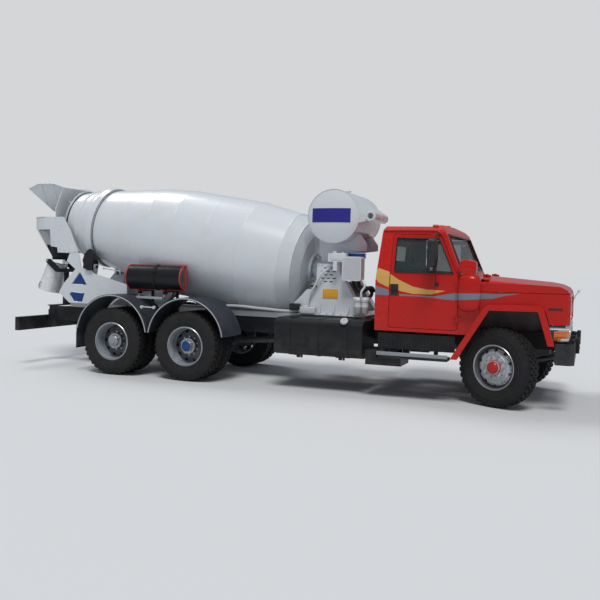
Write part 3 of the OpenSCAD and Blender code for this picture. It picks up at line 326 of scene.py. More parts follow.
RED = painted("cab_red", (0.47, 0.012, 0.008), 0.26, 0.12, 1.0, 0.05, 0.12, 0.2)
for bands, colour in ((GOLD, (0.62, 0.36, 0.10)), (SLATE, (0.17, 0.20, 0.25))):
    RED.set("Base Color", RED.mix(band_mask(RED, bands), colour_of(RED), colour))
RED_PLAIN = painted("plain_red", (0.46, 0.012, 0.008), 0.26, 0.1, 1.0, 0.05, 0.12, 0.2)
print("bands", len(GOLD) + len(SLATE))

# %% [markdown]
# ## Steel and wheel paint
# Several bare metals meet here: the bright chute that concrete has polished, blades with
# dry concrete on them, bolts and grey cast iron. Streaks along the flow come from a
# stretched noise. The rims change tone at a distance from the wheel's axis.

# %% Bare metals
def steel(name, colour, roughness, scale, soil, stretch=None):
    metal = Finish(name, colour, roughness, 0.9)
    streaks = metal.noise(scale, 5, stretch)
    stains = metal.span(metal.noise(7, 6), 0.45, 0.75, 0, soil)
    tone = metal.mix(metal.span(streaks, 0.3, 0.7), shaded(colour, 0.82), colour)
    gloss = metal.span(streaks, 0.3, 0.7, roughness - 0.08, roughness + 0.12)
    metal.wear(metal.mix(stains, tone, (0.30, 0.28, 0.25)), gloss, streaks, 0.15, 0.0005)
    return metal


def two_tone(name, places, radius, inner, outer):
    """Rim paint that changes tone at a distance from the wheels' axes, with brake dust and painted shade in its
    hollows.
    """
    paint = Finish(name, inner, 0.4)
    nearest = 10.0
    for centre, axis in places:
        found = paint.coords
        for operation, value in (("SUBTRACT", centre), ("CROSS_PRODUCT", axis)):
            found = paint.node("VectorMath", {0: found, 1: value}, operation=operation).outputs[0]
        length = paint.node("VectorMath", {0: found}, operation="LENGTH").outputs["Value"]
        nearest = paint.math("MINIMUM", length, nearest)
    tone = paint.mix(paint.math("GREATER_THAN", nearest, radius), inner, outer)
    dirt = paint.span(paint.noise(20, 6), 0.42, 0.75, 0, 0.5)
    # Brake dust from a noise, and hollows darkened partly by dust and partly as painted shade.
    tone = paint.mix(paint.math("MAXIMUM", dirt, paint.edges(0.48, 0.40, 0.7)), tone, (0.055, 0.052, 0.048))
    paint.wear(tone, paint.span(dirt, 0, 0.5, 0.35, 0.6), paint.noise(150, 2), 0.05, 0.0005)
    return paint


CHUTE_STEEL = steel("chute_steel", (0.90, 0.91, 0.93), 0.30, 60, 0.03, (1, 1, 0.12))
CHUTE_STEEL.set("Metallic", 0.2)
BLADE_STEEL = steel("blade_steel", (0.45, 0.45, 0.44), 0.55, 30, 0.8)
BOLT_STEEL = steel("bolt_steel", (0.50, 0.51, 0.53), 0.35, 90, 0.3)
IRON = steel("cast_iron", (0.17, 0.175, 0.18), 0.6, 45, 0.5)
CHROME = steel("chrome", (0.85, 0.86, 0.88), 0.14, 20, 0.05)
front_axes = [(at(0, side * KING_Y, WHEEL_R), spin(STEER) @ Vector((0, 1, 0))) for side in SIDES.values()]
drive_axes = [(at(x, 0, WHEEL_R), (0, 1, 0)) for x in (MID_X, REAR_X)]
FRONT_DISC = two_tone("front_disc", front_axes, 0.236, (0.47, 0.50, 0.55), (0.10, 0.105, 0.12))
DRIVE_DISC = two_tone("drive_disc", drive_axes, 0.252, (0.085, 0.088, 0.098), (0.30, 0.33, 0.38))
print("metals", 7)

# %% [markdown]
# ## Rubber, plastic, glass and lenses
# Rubber is dull and picks up dust in its hollows, moulded plastic has a fine grain, and
# glass is a thin dark tint that lets the cab show through. Lamp lenses have ribs that
# break up the light, which a wave in the bump gives.

# %% Rubber, plastic, glass and lenses
def plastic(name, colour, roughness):
    made = Finish(name, colour, roughness)
    worn = made.span(made.noise(14, 4), 0.4, 0.7)
    tone = made.mix(worn, colour, shaded(colour, 1.35, 0.004))
    gloss = made.span(worn, 0, 1, roughness - 0.08, roughness + 0.1)
    made.wear(tone, gloss, made.noise(320, 2), 0.3, 0.0006)
    return made


def lens(name, colour):
    made = Finish(name, colour, 0.12)
    ribs = made.wave(45)
    made.set("Coat Weight", 1.0)
    made.set("Coat Roughness", 0.04)
    tone = made.mix(made.span(ribs, 0, 1, 0, 0.4), colour, shaded(colour, 0.55))
    made.wear(tone, 0.12, ribs, 0.3, 0.0012)
    return made


RUBBER_COLOUR = (0.010, 0.010, 0.011)
RUBBER = Finish("tyre_rubber", RUBBER_COLOUR, 0.75)
RUBBER.set("Specular IOR Level", 0.35)
dusty = RUBBER.math("MAXIMUM", RUBBER.span(RUBBER.noise(11, 7), 0.4, 0.75, 0, 0.3), RUBBER.edges(0.49, 0.42, 0.5))
RUBBER.wear(RUBBER.mix(dusty, RUBBER_COLOUR, (0.040, 0.038, 0.035)),
            RUBBER.span(RUBBER.noise(60, 4), 0.3, 0.7, 0.62, 0.85), RUBBER.noise(240, 4), 0.25, 0.0008)
TRIM = plastic("trim_black", (0.010, 0.011, 0.012), 0.5)
GRIP = plastic("grip_black", (0.010, 0.010, 0.011), 0.4)
ORANGE = lens("orange_lens", (0.75, 0.16, 0.012))
RED_LENS = lens("red_lens", (0.50, 0.015, 0.010))
CLEAR_LENS = lens("clear_lens", (0.72, 0.74, 0.75))
GLASS = Finish("window_glass", (0.045, 0.065, 0.065), 0.04)
GLASS.set("Alpha", 0.42)
tint = GLASS.mix(GLASS.span(GLASS.noise(2.5), 0.3, 0.7), (0.035, 0.055, 0.055), (0.06, 0.08, 0.08))
GLASS.set("Base Color", tint)
GLASS.set("Roughness", GLASS.span(GLASS.noise(9, 6), 0.4, 0.8, 0.03, 0.16))
MIRROR = Finish("mirror_glass", (0.75, 0.78, 0.80), 0.03, 1.0)
MIRROR.set("Roughness", MIRROR.span(MIRROR.noise(20, 5), 0.4, 0.8, 0.02, 0.12))
print("soft and clear finishes", 8)

# %% [markdown]
# ## Seat cloth
# Lorry seats wear a tight grey weave. Two crossed waves make the threads, a slow noise
# makes the cloth uneven, and a little sheen lifts the rim as fibres do.

# %% Seat cloth
CLOTH = Finish("seat_cloth", (0.075, 0.08, 0.092), 0.85)
weave = CLOTH.times(CLOTH.wave(190), CLOTH.wave(190, "DIAGONAL"))
cloth_tone = CLOTH.mix(weave, (0.045, 0.048, 0.056), (0.12, 0.125, 0.14))
stained = CLOTH.mix(CLOTH.span(CLOTH.noise(8), 0.4, 0.7, 0, 0.4), cloth_tone, (0.05, 0.045, 0.04))
CLOTH.set("Sheen Weight", 0.4)
CLOTH.wear(stained, 0.85, weave, 0.5, 0.0008)
print("cloth", CLOTH.material.name)

# %% [markdown]
# ## Dressing the solids
# The solids that already have the right shape stay. Each gets a finish, and its knife
# edges are rounded as pressed sheet is: the loose triangles are welded, a narrow bevel
# catches the light, and weighted normals keep the large faces flat.

# %% Finishes of the solids
LOOKS = {
    BLACK: "frame_rails drive_axles bogie_springs underrun_bar swivel_bearing chute_swivel",
    SATIN: "cab_steps fuel_tank left_equipment spare_chute roller_*",
    PALE: "subframe front_lamps",
    IRON: "front_axle driveline knuckle_*",
    BUMPER: "front_bumper",
    GUARD: "rear_guards",
    RED: "cab_shell nose_panels hood_lid door_*",
    GLASS: "cab_glass door_glass_*",
    TRIM: "cab_interior grille door_fittings_*",
    RED_LENS: "tail_lamps",
    WHITE: "front_pedestal drum_gearbox oil_cooler rear_pedestal charge_hopper discharge_collector",
    TANK_WHITE: "water_tank",
    DRUM_WHITE: "drum",
    BLADE_STEEL: "drum_blades",
    CHUTE_STEEL: "chute",
    RUBBER: "front_tyre_* mid_tyres_* rear_tyres_*",
    FRONT_DISC: "front_rim_*",
    DRIVE_DISC: "mid_rims_* rear_rims_*",
}
ROUNDING = {"front_bumper": 14, "cab_shell": 7, "hood_lid": 6, "nose_panels": 6,
            "door_right": 3, "door_left": 3, "oil_cooler": 12}
USUAL_ROUNDING = 2.5


def names(text):
    """Names in a text, where a star stands for the right and the left one."""
    return [name.replace("*", word) for name in text.split() for word in (SIDES if "*" in name else [""])]


ROUND_ALREADY = names("cab_glass door_glass_* water_tank drum drum_gearbox discharge_collector left_equipment "
                      "drive_axles roller_* chute front_rim_* mid_rims_* rear_rims_*")


def rounded(solid, radius):
    """Round the edges of a solid by a radius in millimetres."""
    solid.data.shade_smooth()
    solid.modifiers.new("weld", "WELD").merge_threshold = 0.00005
    bevel = solid.modifiers.new("rounded", "BEVEL")
    bevel.width = radius / 1000
    bevel.segments = 2
    bevel.limit_method = "ANGLE"
    bevel.angle_limit = math.radians(38)
    flat = solid.modifiers.new("flat_faces", "WEIGHTED_NORMAL")
    flat.mode = "FACE_AREA_WITH_ANGLE"
    flat.keep_sharp = True


for finish, text in LOOKS.items():
    for name in names(text):
        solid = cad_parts[name]
        solid.data.materials.clear()
        solid.data.materials.append(finish.material)
        if name not in ROUND_ALREADY:
            rounded(solid, ROUNDING.get(name, USUAL_ROUNDING))
print("dressed", sum(len(names(text)) for text in LOOKS.values()), "of", len(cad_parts))

# %% [markdown]
# ## Building blocks
# Most small pieces are rounded blocks, turned shapes, bars and folded plates. Each is
# a bmesh operator or two on one bench: a cube whose edges are bevelled, a profile that
# is spun, a cone between two points, an outline that is extruded. A piece is made of
# what lies on the bench, which is then cleared.

# %% Building blocks
bench = bmesh.new()


def scaled(matrix_mm):
    """Matrix drawn in millimetres from the front axle, in the frame's metres."""
    return move(AXLE_X, 0, 0) @ Matrix.Scale(0.001, 4) @ matrix_mm


def spot(axis, along, a, b):
    """Point with one coordinate along an axis and the other two in their order."""
    point = [a, b]
    point.insert("XYZ".index(axis), along)
    return point


def bevelled(mesh, edges, offset, segments=2):
    bmesh.ops.bevel(mesh, geom=edges, offset=offset, segments=segments, profile=0.5,
                    affect="EDGES", clamp_overlap=True, material=-1)


def cube(place, *size):
    return bmesh.ops.create_cube(bench, size=1, matrix=scaled(place @ Matrix.Diagonal((*size, 1))))


def block(lo, hi, radius, turn=Matrix.Identity(4), segments=2):
    """Rounded block between two corners, turned about its middle by the matrix turn."""
    lo, hi = Vector(lo), Vector(hi)
    made = cube(move(*(lo + hi) / 2) @ turn, *(hi - lo))
    bevelled(bench, list({edge for vert in made["verts"] for edge in vert.link_edges}), radius / 1000, segments)


def ball(x, y, z, radius, detail):
    bmesh.ops.create_icosphere(bench, subdivisions=detail, radius=radius, matrix=scaled(move(x, y, z)))


def bar(start, end, radius, sides=16, tip=None):
    """Round bar, or a cone with tip as its end radius, between two points."""
    start, end = Vector(start), Vector(end)
    turn = (end - start).to_track_quat("Z", "Y").to_matrix().to_4x4()
    bmesh.ops.create_cone(bench, cap_ends=True, segments=sides, radius1=radius,
                          radius2=radius if tip is None else tip,
                          depth=(end - start).length, matrix=scaled(move(*(start + end) / 2) @ turn))


def bars(axis, lo, hi, first, second, radius, sides):
    """Bars along an axis, at each pair of values of the other two coordinates."""
    for a in first:
        for b in second:
            bar(spot(axis, lo, a, b), spot(axis, hi, a, b), radius, sides)


def add(fresh, matrix=Matrix.Identity(4)):
    """Put another bmesh, drawn in millimetres, on the bench."""
    bmesh.ops.transform(fresh, matrix=scaled(matrix), verts=fresh.verts)
    spare = bpy.data.meshes.new("spare")
    fresh.to_mesh(spare)
    fresh.free()
    bench.from_mesh(spare)
    bpy.data.meshes.remove(spare)


def turned(profile, matrix, steps=40):
    """Spin a profile of (radius, height) about Z and put it in place."""
    fresh = bmesh.new()
    points = [fresh.verts.new((r, 0, z)) for r, z in profile]
    edges = [fresh.edges.new(pair) for pair in zip(points, points[1:])]
    bmesh.ops.spin(fresh, geom=points + edges, cent=(0, 0, 0), axis=(0, 0, 1),
                   angle=math.tau, steps=steps, use_merge=True)
    bmesh.ops.remove_doubles(fresh, verts=fresh.verts, dist=0.01)
    bmesh.ops.recalc_face_normals(fresh, faces=fresh.faces)
    add(fresh, matrix)


def verts_of(made):
    return [v for v in made["geom"] if isinstance(v, bmesh.types.BMVert)]


def plate(outline, axis, lo, hi, radius):
    """Outline in the plane across an axis, extruded from lo to hi along it."""
    fresh = bmesh.new()
    face = fresh.faces.new([fresh.verts.new(spot(axis, lo, *point)) for point in outline])
    grown = bmesh.ops.extrude_face_region(fresh, geom=[face])
    bmesh.ops.translate(fresh, verts=verts_of(grown), vec=spot(axis, hi - lo, 0, 0))
    bmesh.ops.recalc_face_normals(fresh, faces=fresh.faces)
    bevelled(fresh, fresh.edges[:], radius)
    add(fresh)


def flipped(verts, faces):
    bmesh.ops.scale(bench, vec=(1, -1, 1), verts=verts)
    bmesh.ops.reverse_faces(bench, faces=faces)


def mirrored():
    """Copy everything on the bench to the truck's other side."""
    twin = bmesh.ops.duplicate(bench, geom=bench.verts[:] + bench.edges[:] + bench.faces[:])
    flipped(verts_of(twin), [f for f in twin["geom"] if isinstance(f, bmesh.types.BMFace)])


def both(route):
    """A route and its mirror image on the truck's other side."""
    return [route, [(x, -y, z) for x, y, z in route]]


def arc(radius, start, sweep, steps):
    """Points on an arc about zero, from an angle over a sweep in degrees."""
    turns = [math.radians(start + sweep * i / steps) for i in range(steps + 1)]
    return [(radius * math.cos(t), radius * math.sin(t)) for t in turns]


def piece(name, slot, finish, *stands_for, body="chassis", smooth=35):
    """Make what lies on the bench a piece that rides on a body of the truck."""
    global bench
    for face in bench.faces:
        face.smooth = True
    for edge in bench.edges:
        edge.smooth = edge.calc_face_angle(0) <= math.radians(smooth)
    data = bpy.data.meshes.new(name)
    bench.to_mesh(data)
    bench.free()
    bench = bmesh.new()
    data.materials.append(finish.material)
    made = linked(name, data)
    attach(made, body)
    if stands_for:
        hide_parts(*stands_for)
    return made


def door_pair(name, slot, finish, *stands_for):
    """A piece on each door, from shapes that were drawn on the left one."""
    drawn = bpy.data.meshes.new("drawn")
    bench.to_mesh(drawn)
    for word, side in SIDES.items():
        bench.clear()
        bench.from_mesh(drawn)
        if side < 0:
            flipped(bench.verts, bench.faces)
        piece(f"{name}_{word}", slot, finish, *[f"{solid}_{word}" for solid in stands_for], body=word + "_door")
    bpy.data.meshes.remove(drawn)


def shown(made):
    """Mesh of an object as its modifiers or its bevel show it."""
    return bpy.data.meshes.new_from_object(made.evaluated_get(bpy.context.evaluated_depsgraph_get()))


def pipes(name, routes, radius, slot, finish, body="chassis", closed=False, bend="VECTOR"):
    """Bent pipes of one radius, each through its list of points."""
    curve = bpy.data.curves.new(name, "CURVE")
    curve.dimensions = "3D"
    curve.bevel_depth = radius / 1000
    curve.bevel_resolution = 4
    curve.use_fill_caps = True
    for route in routes:
        spline = curve.splines.new("BEZIER")
        spline.bezier_points.add(len(route) - 1)
        spline.use_cyclic_u = closed
        spline.resolution_u = 8
        for point, place in zip(spline.bezier_points, route):
            point.co = at(*place)
            point.handle_left_type = point.handle_right_type = bend
    bent = linked(name + "_curve", curve)
    bench.from_mesh(shown(bent))
    bpy.data.objects.remove(bent)
    bmesh.ops.remove_doubles(bench, verts=bench.verts, dist=0.00001)
    piece(name, slot, finish, body=body)


print("building blocks ready")

# %% [markdown]
# ## Tyres
# A lorry tyre has a bulged sidewall with thin ribs, and a flat tread cut into blocks.
# The carcass is one profile spun round the axle. Each step of the tread has two edge
# lugs and two middle blocks, shifted by half a step. One tyre is made once, and every
# wheel is a copy of it put in its place.

# %% One tyre
TYRE_W, RIM_R = 265, 298
TREAD_STEPS = 40
LANES = ((-56, 50, 48), (-106, 40, 56), (-159, 40, 56), (-209, 50, 48))
LUG_TWIST, SHOULDER_SLOPE = math.degrees(0.16), math.degrees(0.75)
ribs = [(-5, 28), (0, 20), (14, 11), (40, 5), (62, 2), (64, 0.5), (70, 0.5), (72, 2), (110, 1.5), (112, 0.2),
        (118, 0.4), (120, 2.5)]
wall = [(RIM_R + r, z) for r, z in ribs] + [(WHEEL_R - r, z) for r, z in ((62, 9), (34, 17), (20, 26), (15, 42))]
turned([(r, -z) for r, z in wall] + [(r, z - TYRE_W) for r, z in reversed(wall)], Matrix.Identity(4), 80)
for step in range(TREAD_STEPS):
    for lane, (middle, width, length) in enumerate(LANES):
        turn = spin(360 * (step + 0.5 * (lane % 2)) / TREAD_STEPS)
        twist = spin(LUG_TWIST if lane < 2 else -LUG_TWIST, "X")
        cube(turn @ move(WHEEL_R - 9.2, 0, middle) @ twist, 18, length, width)
    for slope, middle in ((SHOULDER_SLOPE, -29), (-SHOULDER_SLOPE, 29 - TYRE_W)):
        cube(spin(360 * step / TREAD_STEPS) @ move(WHEEL_R - 24, 0, middle) @ spin(slope, "Y"), 12, 46, 28)
one_tyre = bpy.data.meshes.new("one_tyre")
bench.to_mesh(one_tyre)
bench.clear()
print("faces of one tyre", len(one_tyre.polygons))

# %% [markdown]
# ## The wheels in place
# The front wheels stand turned to the right, as the truck was parked, so their matrix
# goes through the king pin. The drive wheels are twins on straight axles.

# %% Wheel places
FRONT_FACE, REAR_FACE, TWIN = 1165, 1240, 318
DRIVE_ROWS = {"mid": MID_X, "rear": REAR_X}


def on_knuckle(side):
    return (move(0, side * KING_Y, 0) @ spin(STEER) @ move(0, side * (FRONT_FACE - KING_Y), WHEEL_R)
            @ spin(-90 * side, "X"))


def on_axle(x, side):
    return move(x, side * REAR_FACE, WHEEL_R) @ spin(-90 * side, "X")


def tyre_copies(name, body, *places):
    for place in places:
        copy = bmesh.new()
        copy.from_mesh(one_tyre)
        add(copy, place @ scaled(Matrix.Identity(4)).inverted())
    piece(name + "_tread", "tyre", RUBBER, name, body=body)


for word, side in SIDES.items():
    tyre_copies("front_tyre_" + word, word + "_front_wheel", on_knuckle(side))
    for row, x in DRIVE_ROWS.items():
        hub = on_axle(x, side)
        tyre_copies(f"{row}_tyres_{word}", f"{word}_{row}_wheels", hub, hub @ move(0, 0, -TWIN))
print("tyres", 10)

# %% [markdown]
# ## Nuts, hubs and caps
# Ten nuts hold each wheel. The front hub wears a red cap, the drive hubs are grey with
# a ring of studs, and one of them has a blue cap. A nut is a six-sided cone with a
# domed end.

# %% Hubs
RIM_LIP = [(RIM_R - 24, -29), (RIM_R - 19, -15), (RIM_R - 8, -10), (RIM_R - 2, -16), (RIM_R - 2, -24)]


def nut_ring(hub, count, ring, base, across, tall, twist=0.0):
    for index in range(count):
        turn = hub @ spin(360 * (index + twist) / count)
        foot, head, tip = (turn @ Vector((ring, 0, base + out)) for out in (0, tall, tall + 9))
        bar(foot, head, across, 6)
        bar(head, tip, across * 0.55, 8, across * 0.35)


for word, side in SIDES.items():
    hub, body = on_knuckle(side), word + "_front_wheel"
    nut_ring(hub, 10, 137, -41, 15, 20)
    nut_ring(hub, 8, 84, -29, 8, 10)
    turned([(160, -41.5), (164, -38), (172, -38), (176, -41.5)], hub)
    turned(RIM_LIP, hub, 64)
    piece("front_nuts_" + word, "rim", BOLT_STEEL, body=body)
    turned([(96, -40), (97, -22), (78, -18), (74, 10), (62, 22), (30, 27), (0, 28)], hub)
    turned([(72, 2), (77, 4), (77, 9), (72, 11)], hub)
    piece("front_cap_" + word, "cab_paint", RED_PLAIN, body=body)
    for row, x in DRIVE_ROWS.items():
        hub, body = on_axle(x, side), f"{word}_{row}_wheels"
        nut_ring(hub, 10, 137, -178, 15, 20, 0.5)
        nut_ring(hub, 12, 98, -110, 9, 10)
        turned([(118, -140), (121, -118), (116, -108), (84, -107), (82, -62), (76, -55)], hub)
        turned(RIM_LIP, hub, 64)
        piece(f"{row}_nuts_{word}", "rim", BOLT_STEEL, body=body)
        turned([(78, -60), (76, -52), (58, -46), (48, -44), (46, -36), (34, -31), (0, -30)], hub)
        cap = BLUE if (row, word) == ("mid", "right") else RIM_GREY
        piece(f"{row}_cap_{word}", "rim", cap, body=body)
print("hubs", 6)

# %% [markdown]
# ## Window seals, vent bars and drip rails
# A black rubber seal frames each pane, and the door window has an upright bar near its
# front. The cab's side leans in above the belt, so one helper gives the side's distance
# from the middle at a height, and the seals follow it as bent tubes.

# %% Seals and rails
def cab_side(z):
    """Distance of the cab's side from the middle at height z."""
    if z > 1660:
        return 1175 - (z - 1660) * 105 / 610
    return 1175 if z > 1250 else 1145 + (z - 700) * 30 / 550


def cab_back(z):
    """Where the cab's back wall is at height z."""
    return -1680 + max(0, z - 1580) * 70 / 785


def windscreen(z, out=0):
    """Where a point at height z lies, so far ahead of the windscreen's face."""
    return out - 545 - (z - 1700) * 245 / 585


DOOR_WINDOW = [(-1425, 1725), (-1420, 1950), (-1415, 2165), (-1150, 2162), (-850, 2158), (-748, 1930),
               (-645, 1702), (-1030, 1713)]
SCREEN = [(-1006, 1756), (-980, 1990), (-946, 2218), (0, 2218), (946, 2218), (980, 1990), (1006, 1756), (0, 1756)]
BACK_WINDOW = [(-448, 1682), (-448, 2088), (448, 2088), (448, 1682)]
DRIP_RAIL = [(-1600, 1081, 2262), (-1250, 1080, 2268), (-880, 1080, 2268), (-812, 1092, 2205), (-600, 1168, 1740)]
for word, side in SIDES.items():
    seal = [(x, side * (cab_side(z) + 2), z) for x, z in DOOR_WINDOW]
    pipes("window_seal_" + word, [seal], 10, "trim", TRIM, word + "_door", closed=True)
for low, high in ((1716, 1936), (1936, 2158)):
    bar((-905, cab_side(low) + 3, low), (-905, cab_side(high) + 3, high), 12, 10)
block((-1420, 1165, 1702), (-650, 1177, 1718), 2)
door_pair("vent_bar", "trim", TRIM)
pipes("screen_seal", [[(windscreen(z, 3), y, z + 2) for y, z in SCREEN]], 13, "trim", TRIM, closed=True)
pipes("back_seal", [[(cab_back(z) - 2, y, z) for y, z in BACK_WINDOW]], 12, "trim", TRIM, closed=True)
pipes("drip_rails", both(DRIP_RAIL), 8, "cab_paint", RED_PLAIN)
print("seals and rails", 7)

# %% [markdown]
# ## Mirrors and handles
# The mirror is a black moulded head with its glass facing back, on an upright rod with
# brackets. It stands for the solid, and the door's handle is a paddle in a dished plate.

# %% Mirrors and handles
ROD_X, ROD_Y = -855, 1262
block((-935, 1290, 1785), (-827, 1490, 2143), 34, segments=4)
block((-850, 1332, 1860), (-818, 1452, 2070), 12, segments=3)
bars("Y", ROD_Y, 1300, [ROD_X], (1860, 2060), 9, 12)
for z in (1860, 2060):
    block((ROD_X - 18, ROD_Y - 16, z - 16), (ROD_X + 18, ROD_Y + 16, z + 16), 5)
bar((ROD_X, ROD_Y, 1535), (ROD_X, ROD_Y, 2222), 10)
bar((ROD_X, 1176, 1560), (ROD_X, 1268, 1560), 11, 12)
bar((ROD_X, 1090, 2205), (ROD_X, 1268, 2205), 9, 12)
block((-885, 1175, 1538), (-825, 1185, 1582), 4)
block((-1470, 1174, 1396), (-1362, 1180, 1550), 3)
door_pair("mirror", "trim", TRIM, "door_fittings")
for low, high in ((1802, 2000), (2010, 2126)):
    block((-941, 1306, low), (-935, 1474, high), 2)
door_pair("mirror_glass", "glass", MIRROR)
block((-1458, 1181, 1440), (-1374, 1199, 1476), 8, segments=3)
bar((-1416, 1176, 1512), (-1416, 1188, 1512), 11)
door_pair("handle", "trim", SATIN)
print("mirrors", 2)

# %% [markdown]
# ## Wipers and roof lamps
# Two wipers lie along the foot of the windscreen, each with an arm, a bow and a blade.
# Small amber lamps mark the corners of the roof.

# %% Wipers and roof lamps
for y in (-560, 260):
    foot = Vector((windscreen(1725, 16), y, 1722))
    elbow = Vector((windscreen(1775, 30), y + 250, 1780))
    bar(foot, elbow, 6, 8)
    bar(foot - Vector((14, 0, 12)), foot + Vector((8, 0, 6)), 17, 12)
    bar((windscreen(1762, 14), y + 20, 1766), (windscreen(1800, 14), y + 500, 1806), 7, 6)
    bar(elbow - Vector((4, 120, 14)), elbow + Vector((4, 120, 6)), 4, 6)
piece("wipers", "trim", GRIP)
for y in (-870, -435, 0, 435, 870):
    top = 2365 - abs(y) * 35 / 900
    block((-985, y - 48, top - 3), (-905, y + 48, top + 26), 11, segments=3)
piece("roof_lamps", "lamp", ORANGE)
print("wipers and lamps")

# %% [markdown]
# ## The nose
# The grille is a frame with bars, lamps sit in a pale panel below it, an amber
# indicator wraps round each corner, and a rod with a white ball shows the driver where
# the corner is. The hood's side has a short louvre.

# %% Nose details
TAPER = (135, 505)
LAMP_YS, LAMP_Z = (-760, -635), 978


def nose(x, inwards=0):
    """Point on the nose's right side, or so far inwards from it, seen from above."""
    side = 1070 - (x - 250) * TAPER[0] / TAPER[1] if x > 250 else 1135 - (x + 294) * 65 / 544
    return (x, inwards - side)


def strip(x0, x1, outer, inner):
    """Outline of a strip along the nose's right side."""
    return [nose(x0, outer), nose(x1, outer), nose(x1, inner), nose(x0, inner)]


corner = [(752, -927), (791, -872), (795, -838), (780, -838), (778, -868), (744, -914)]
plate([nose(612, 8), *corner, nose(612, 22)], "Z", 926, 1018, 2)
plate(strip(612, 690, 9, 22), "Z", 893, 926, 1)
mirrored()
piece("indicators", "lamp", ORANGE)
plate([nose(700, 7), *corner, nose(700, 22)], "Z", 890, 924, 1)
bars("X", 787, 797, LAMP_YS, [LAMP_Z], 56, 32)
mirrored()
piece("headlamps", "lamp", CLEAR_LENS)
plate([nose(560, 6), (752, -925), (794, -870), (794, -700), (784, -700), (784, -865), (746, -912), nose(560, 16)],
      "Z", 1030, 1060, 2)
for y in LAMP_YS:
    turned([(57, -4), (66, -2), (66, 6), (60, 9), (56, 6)], move(793, y, LAMP_Z) @ spin(90, "Y"))
mirrored()
piece("lamp_bezels", "lamp", CHROME)
side_y = nose(619)[1]
for z in (1279, 1291, 1303):
    block((532, side_y - 3, z - 4), (706, side_y + 3, z + 4), 2, spin(math.degrees(math.atan2(*TAPER))))
mirrored()
block((785, -615, 1425), (797, 615, 1440), 3)
piece("side_louvres", "trim", TRIM)
bars("Z", 1168, 1412, [777], range(-560, 561, 70), 4, 8)
piece("grille_rods", "trim", CHROME)
block((712, -560, 1110), (728, 560, 1405), 3)
for y in range(-550, 551, 20):
    block((727, y - 2, 1118), (733, y + 2, 1398), 1)
piece("radiator_core", "trim", TRIM)
pipes("corner_rod", [[(806, -905, 1205), (818, -915, 1330), (838, -928, 1450), (884, -936, 1528)]], 5,
      "trim", BOLT_STEEL, bend="AUTO")
ball(888, -936, 1536, 21, 3)
block((797, -916, 1195), (812, -894, 1220), 4)
piece("corner_ball", "lamp", CLEAR_LENS)
# Dark grey panels at the nose's corners: the side one behind the indicator is painted shade, a dark plate where
# the flare's front edge lies in shadow.
plate(strip(540, 658, 9, 24), "Z", 888, 1086, 1)
plate([nose(655, 10), (742, -928), (780, -880), (786, -840), (786, -560), (776, -560), (776, -838), (770, -872),
       (736, -916), nose(655, 24)], "Z", 1060, 1088, 1)
mirrored()
piece("corner_shade_panels", "trim", GUARD)
print("nose details", 8)

# %% [markdown]
# ## Air cleaner and snorkel
# The air cleaner bulges out of the cowl as a rounded drum, and the snorkel's head above
# it is a soft moulding. Rounded shapes a little larger than the solids cover them.

# %% Air cleaner and snorkel
can = [(0, -240), (60, -237), (105, -222), (132, -190), (143, -140), (146, 0), (146, 110), (138, 172), (112, 212),
       (64, 235), (0, 242)]
turned(can, move(-426, -1212, 1464) @ Matrix.Diagonal((1, 0.56, 1, 1)), 64)
piece("air_cleaner", "cab_paint", RED, smooth=60)
head = [(-562, 1734), (-566, 1800), (-563, 1852), (-524, 1891), (-470, 1893), (-384, 1882), (-352, 1856),
        (-350, 1740), (-354, 1700), (-354, 1678), (-518, 1678), (-519, 1730)]
plate(head, "Y", -1242, -1048, 16)
piece("snorkel_head", "cab_paint", RED_PLAIN, smooth=60)
print("air cleaner and snorkel")

# %% [markdown]
# ## Bumper and steps
# Rubber buffers stand on the bumper. The steps are folded sheet with a bright ribbed
# edge, below a black ribbed panel.

# %% Bumper and steps
block((866, 594, 724), (919, 726, 926), 22, segments=4)
for z in (775, 825, 875):
    block((912, 610, z - 8), (919.5, 710, z + 8), 3)
mirrored()
piece("bumper_rubbers", "trim", RUBBER)
block((-1622, 1225, 596), (-674, 1233, 646), 3)
for x in range(-1600, -700, 31):
    block((x, 1005, 600), (x + 14, 1215, 604), 1.5)
mirrored()
piece("step_edges", "gear_paint", STEP)
print("bumper and steps")

# %% [markdown]
# ## Seats
# A cab seat is foam under tight cloth: it swells, pulls in at the corners and is sewn
# along its edge. Each pad starts as a rounded block a little smaller than its place, is
# remeshed, and a cloth simulation blows it up against its seams.

# %% Seat pads
PAD_GRAIN = SWELL_LIMIT = 0.016
DRIVER_Y, BENCH_OUTER_Y, BENCH_INNER_Y = 520, -640, -215


def keep(made):
    """Make what the modifiers show the mesh itself."""
    data = shown(made)
    made.modifiers.clear()
    made.data = data


def pad(name, lo, hi, lean):
    """Padded seat part between two corners, leaning back by some radians."""
    block(lo, hi, 42, Matrix.Rotation(lean, 4, "Y"), segments=4)
    made = piece(name, "seat_fabric", CLOTH)
    remesh = made.modifiers.new("even_mesh", "REMESH")
    remesh.mode = "VOXEL"
    remesh.voxel_size = PAD_GRAIN
    keep(made)
    rest = [vert.co.copy() for vert in made.data.vertices]
    settings = made.modifiers.new("cloth", "CLOTH").settings
    settings.use_pressure = True
    settings.uniform_pressure_force = 4
    settings.effector_weights.gravity = 0
    for moment in range(1, 16):
        bpy.context.scene.frame_set(moment)
    keep(made)
    for vert, home in zip(made.data.vertices, rest):
        step = vert.co - home
        if step.length > SWELL_LIMIT:
            vert.co = home + step * (SWELL_LIMIT / step.length)
    made.data.shade_smooth()
    soft = made.modifiers.new("soft", "SUBSURF")
    soft.levels = soft.render_levels = 1
    bpy.context.scene.frame_set(1)


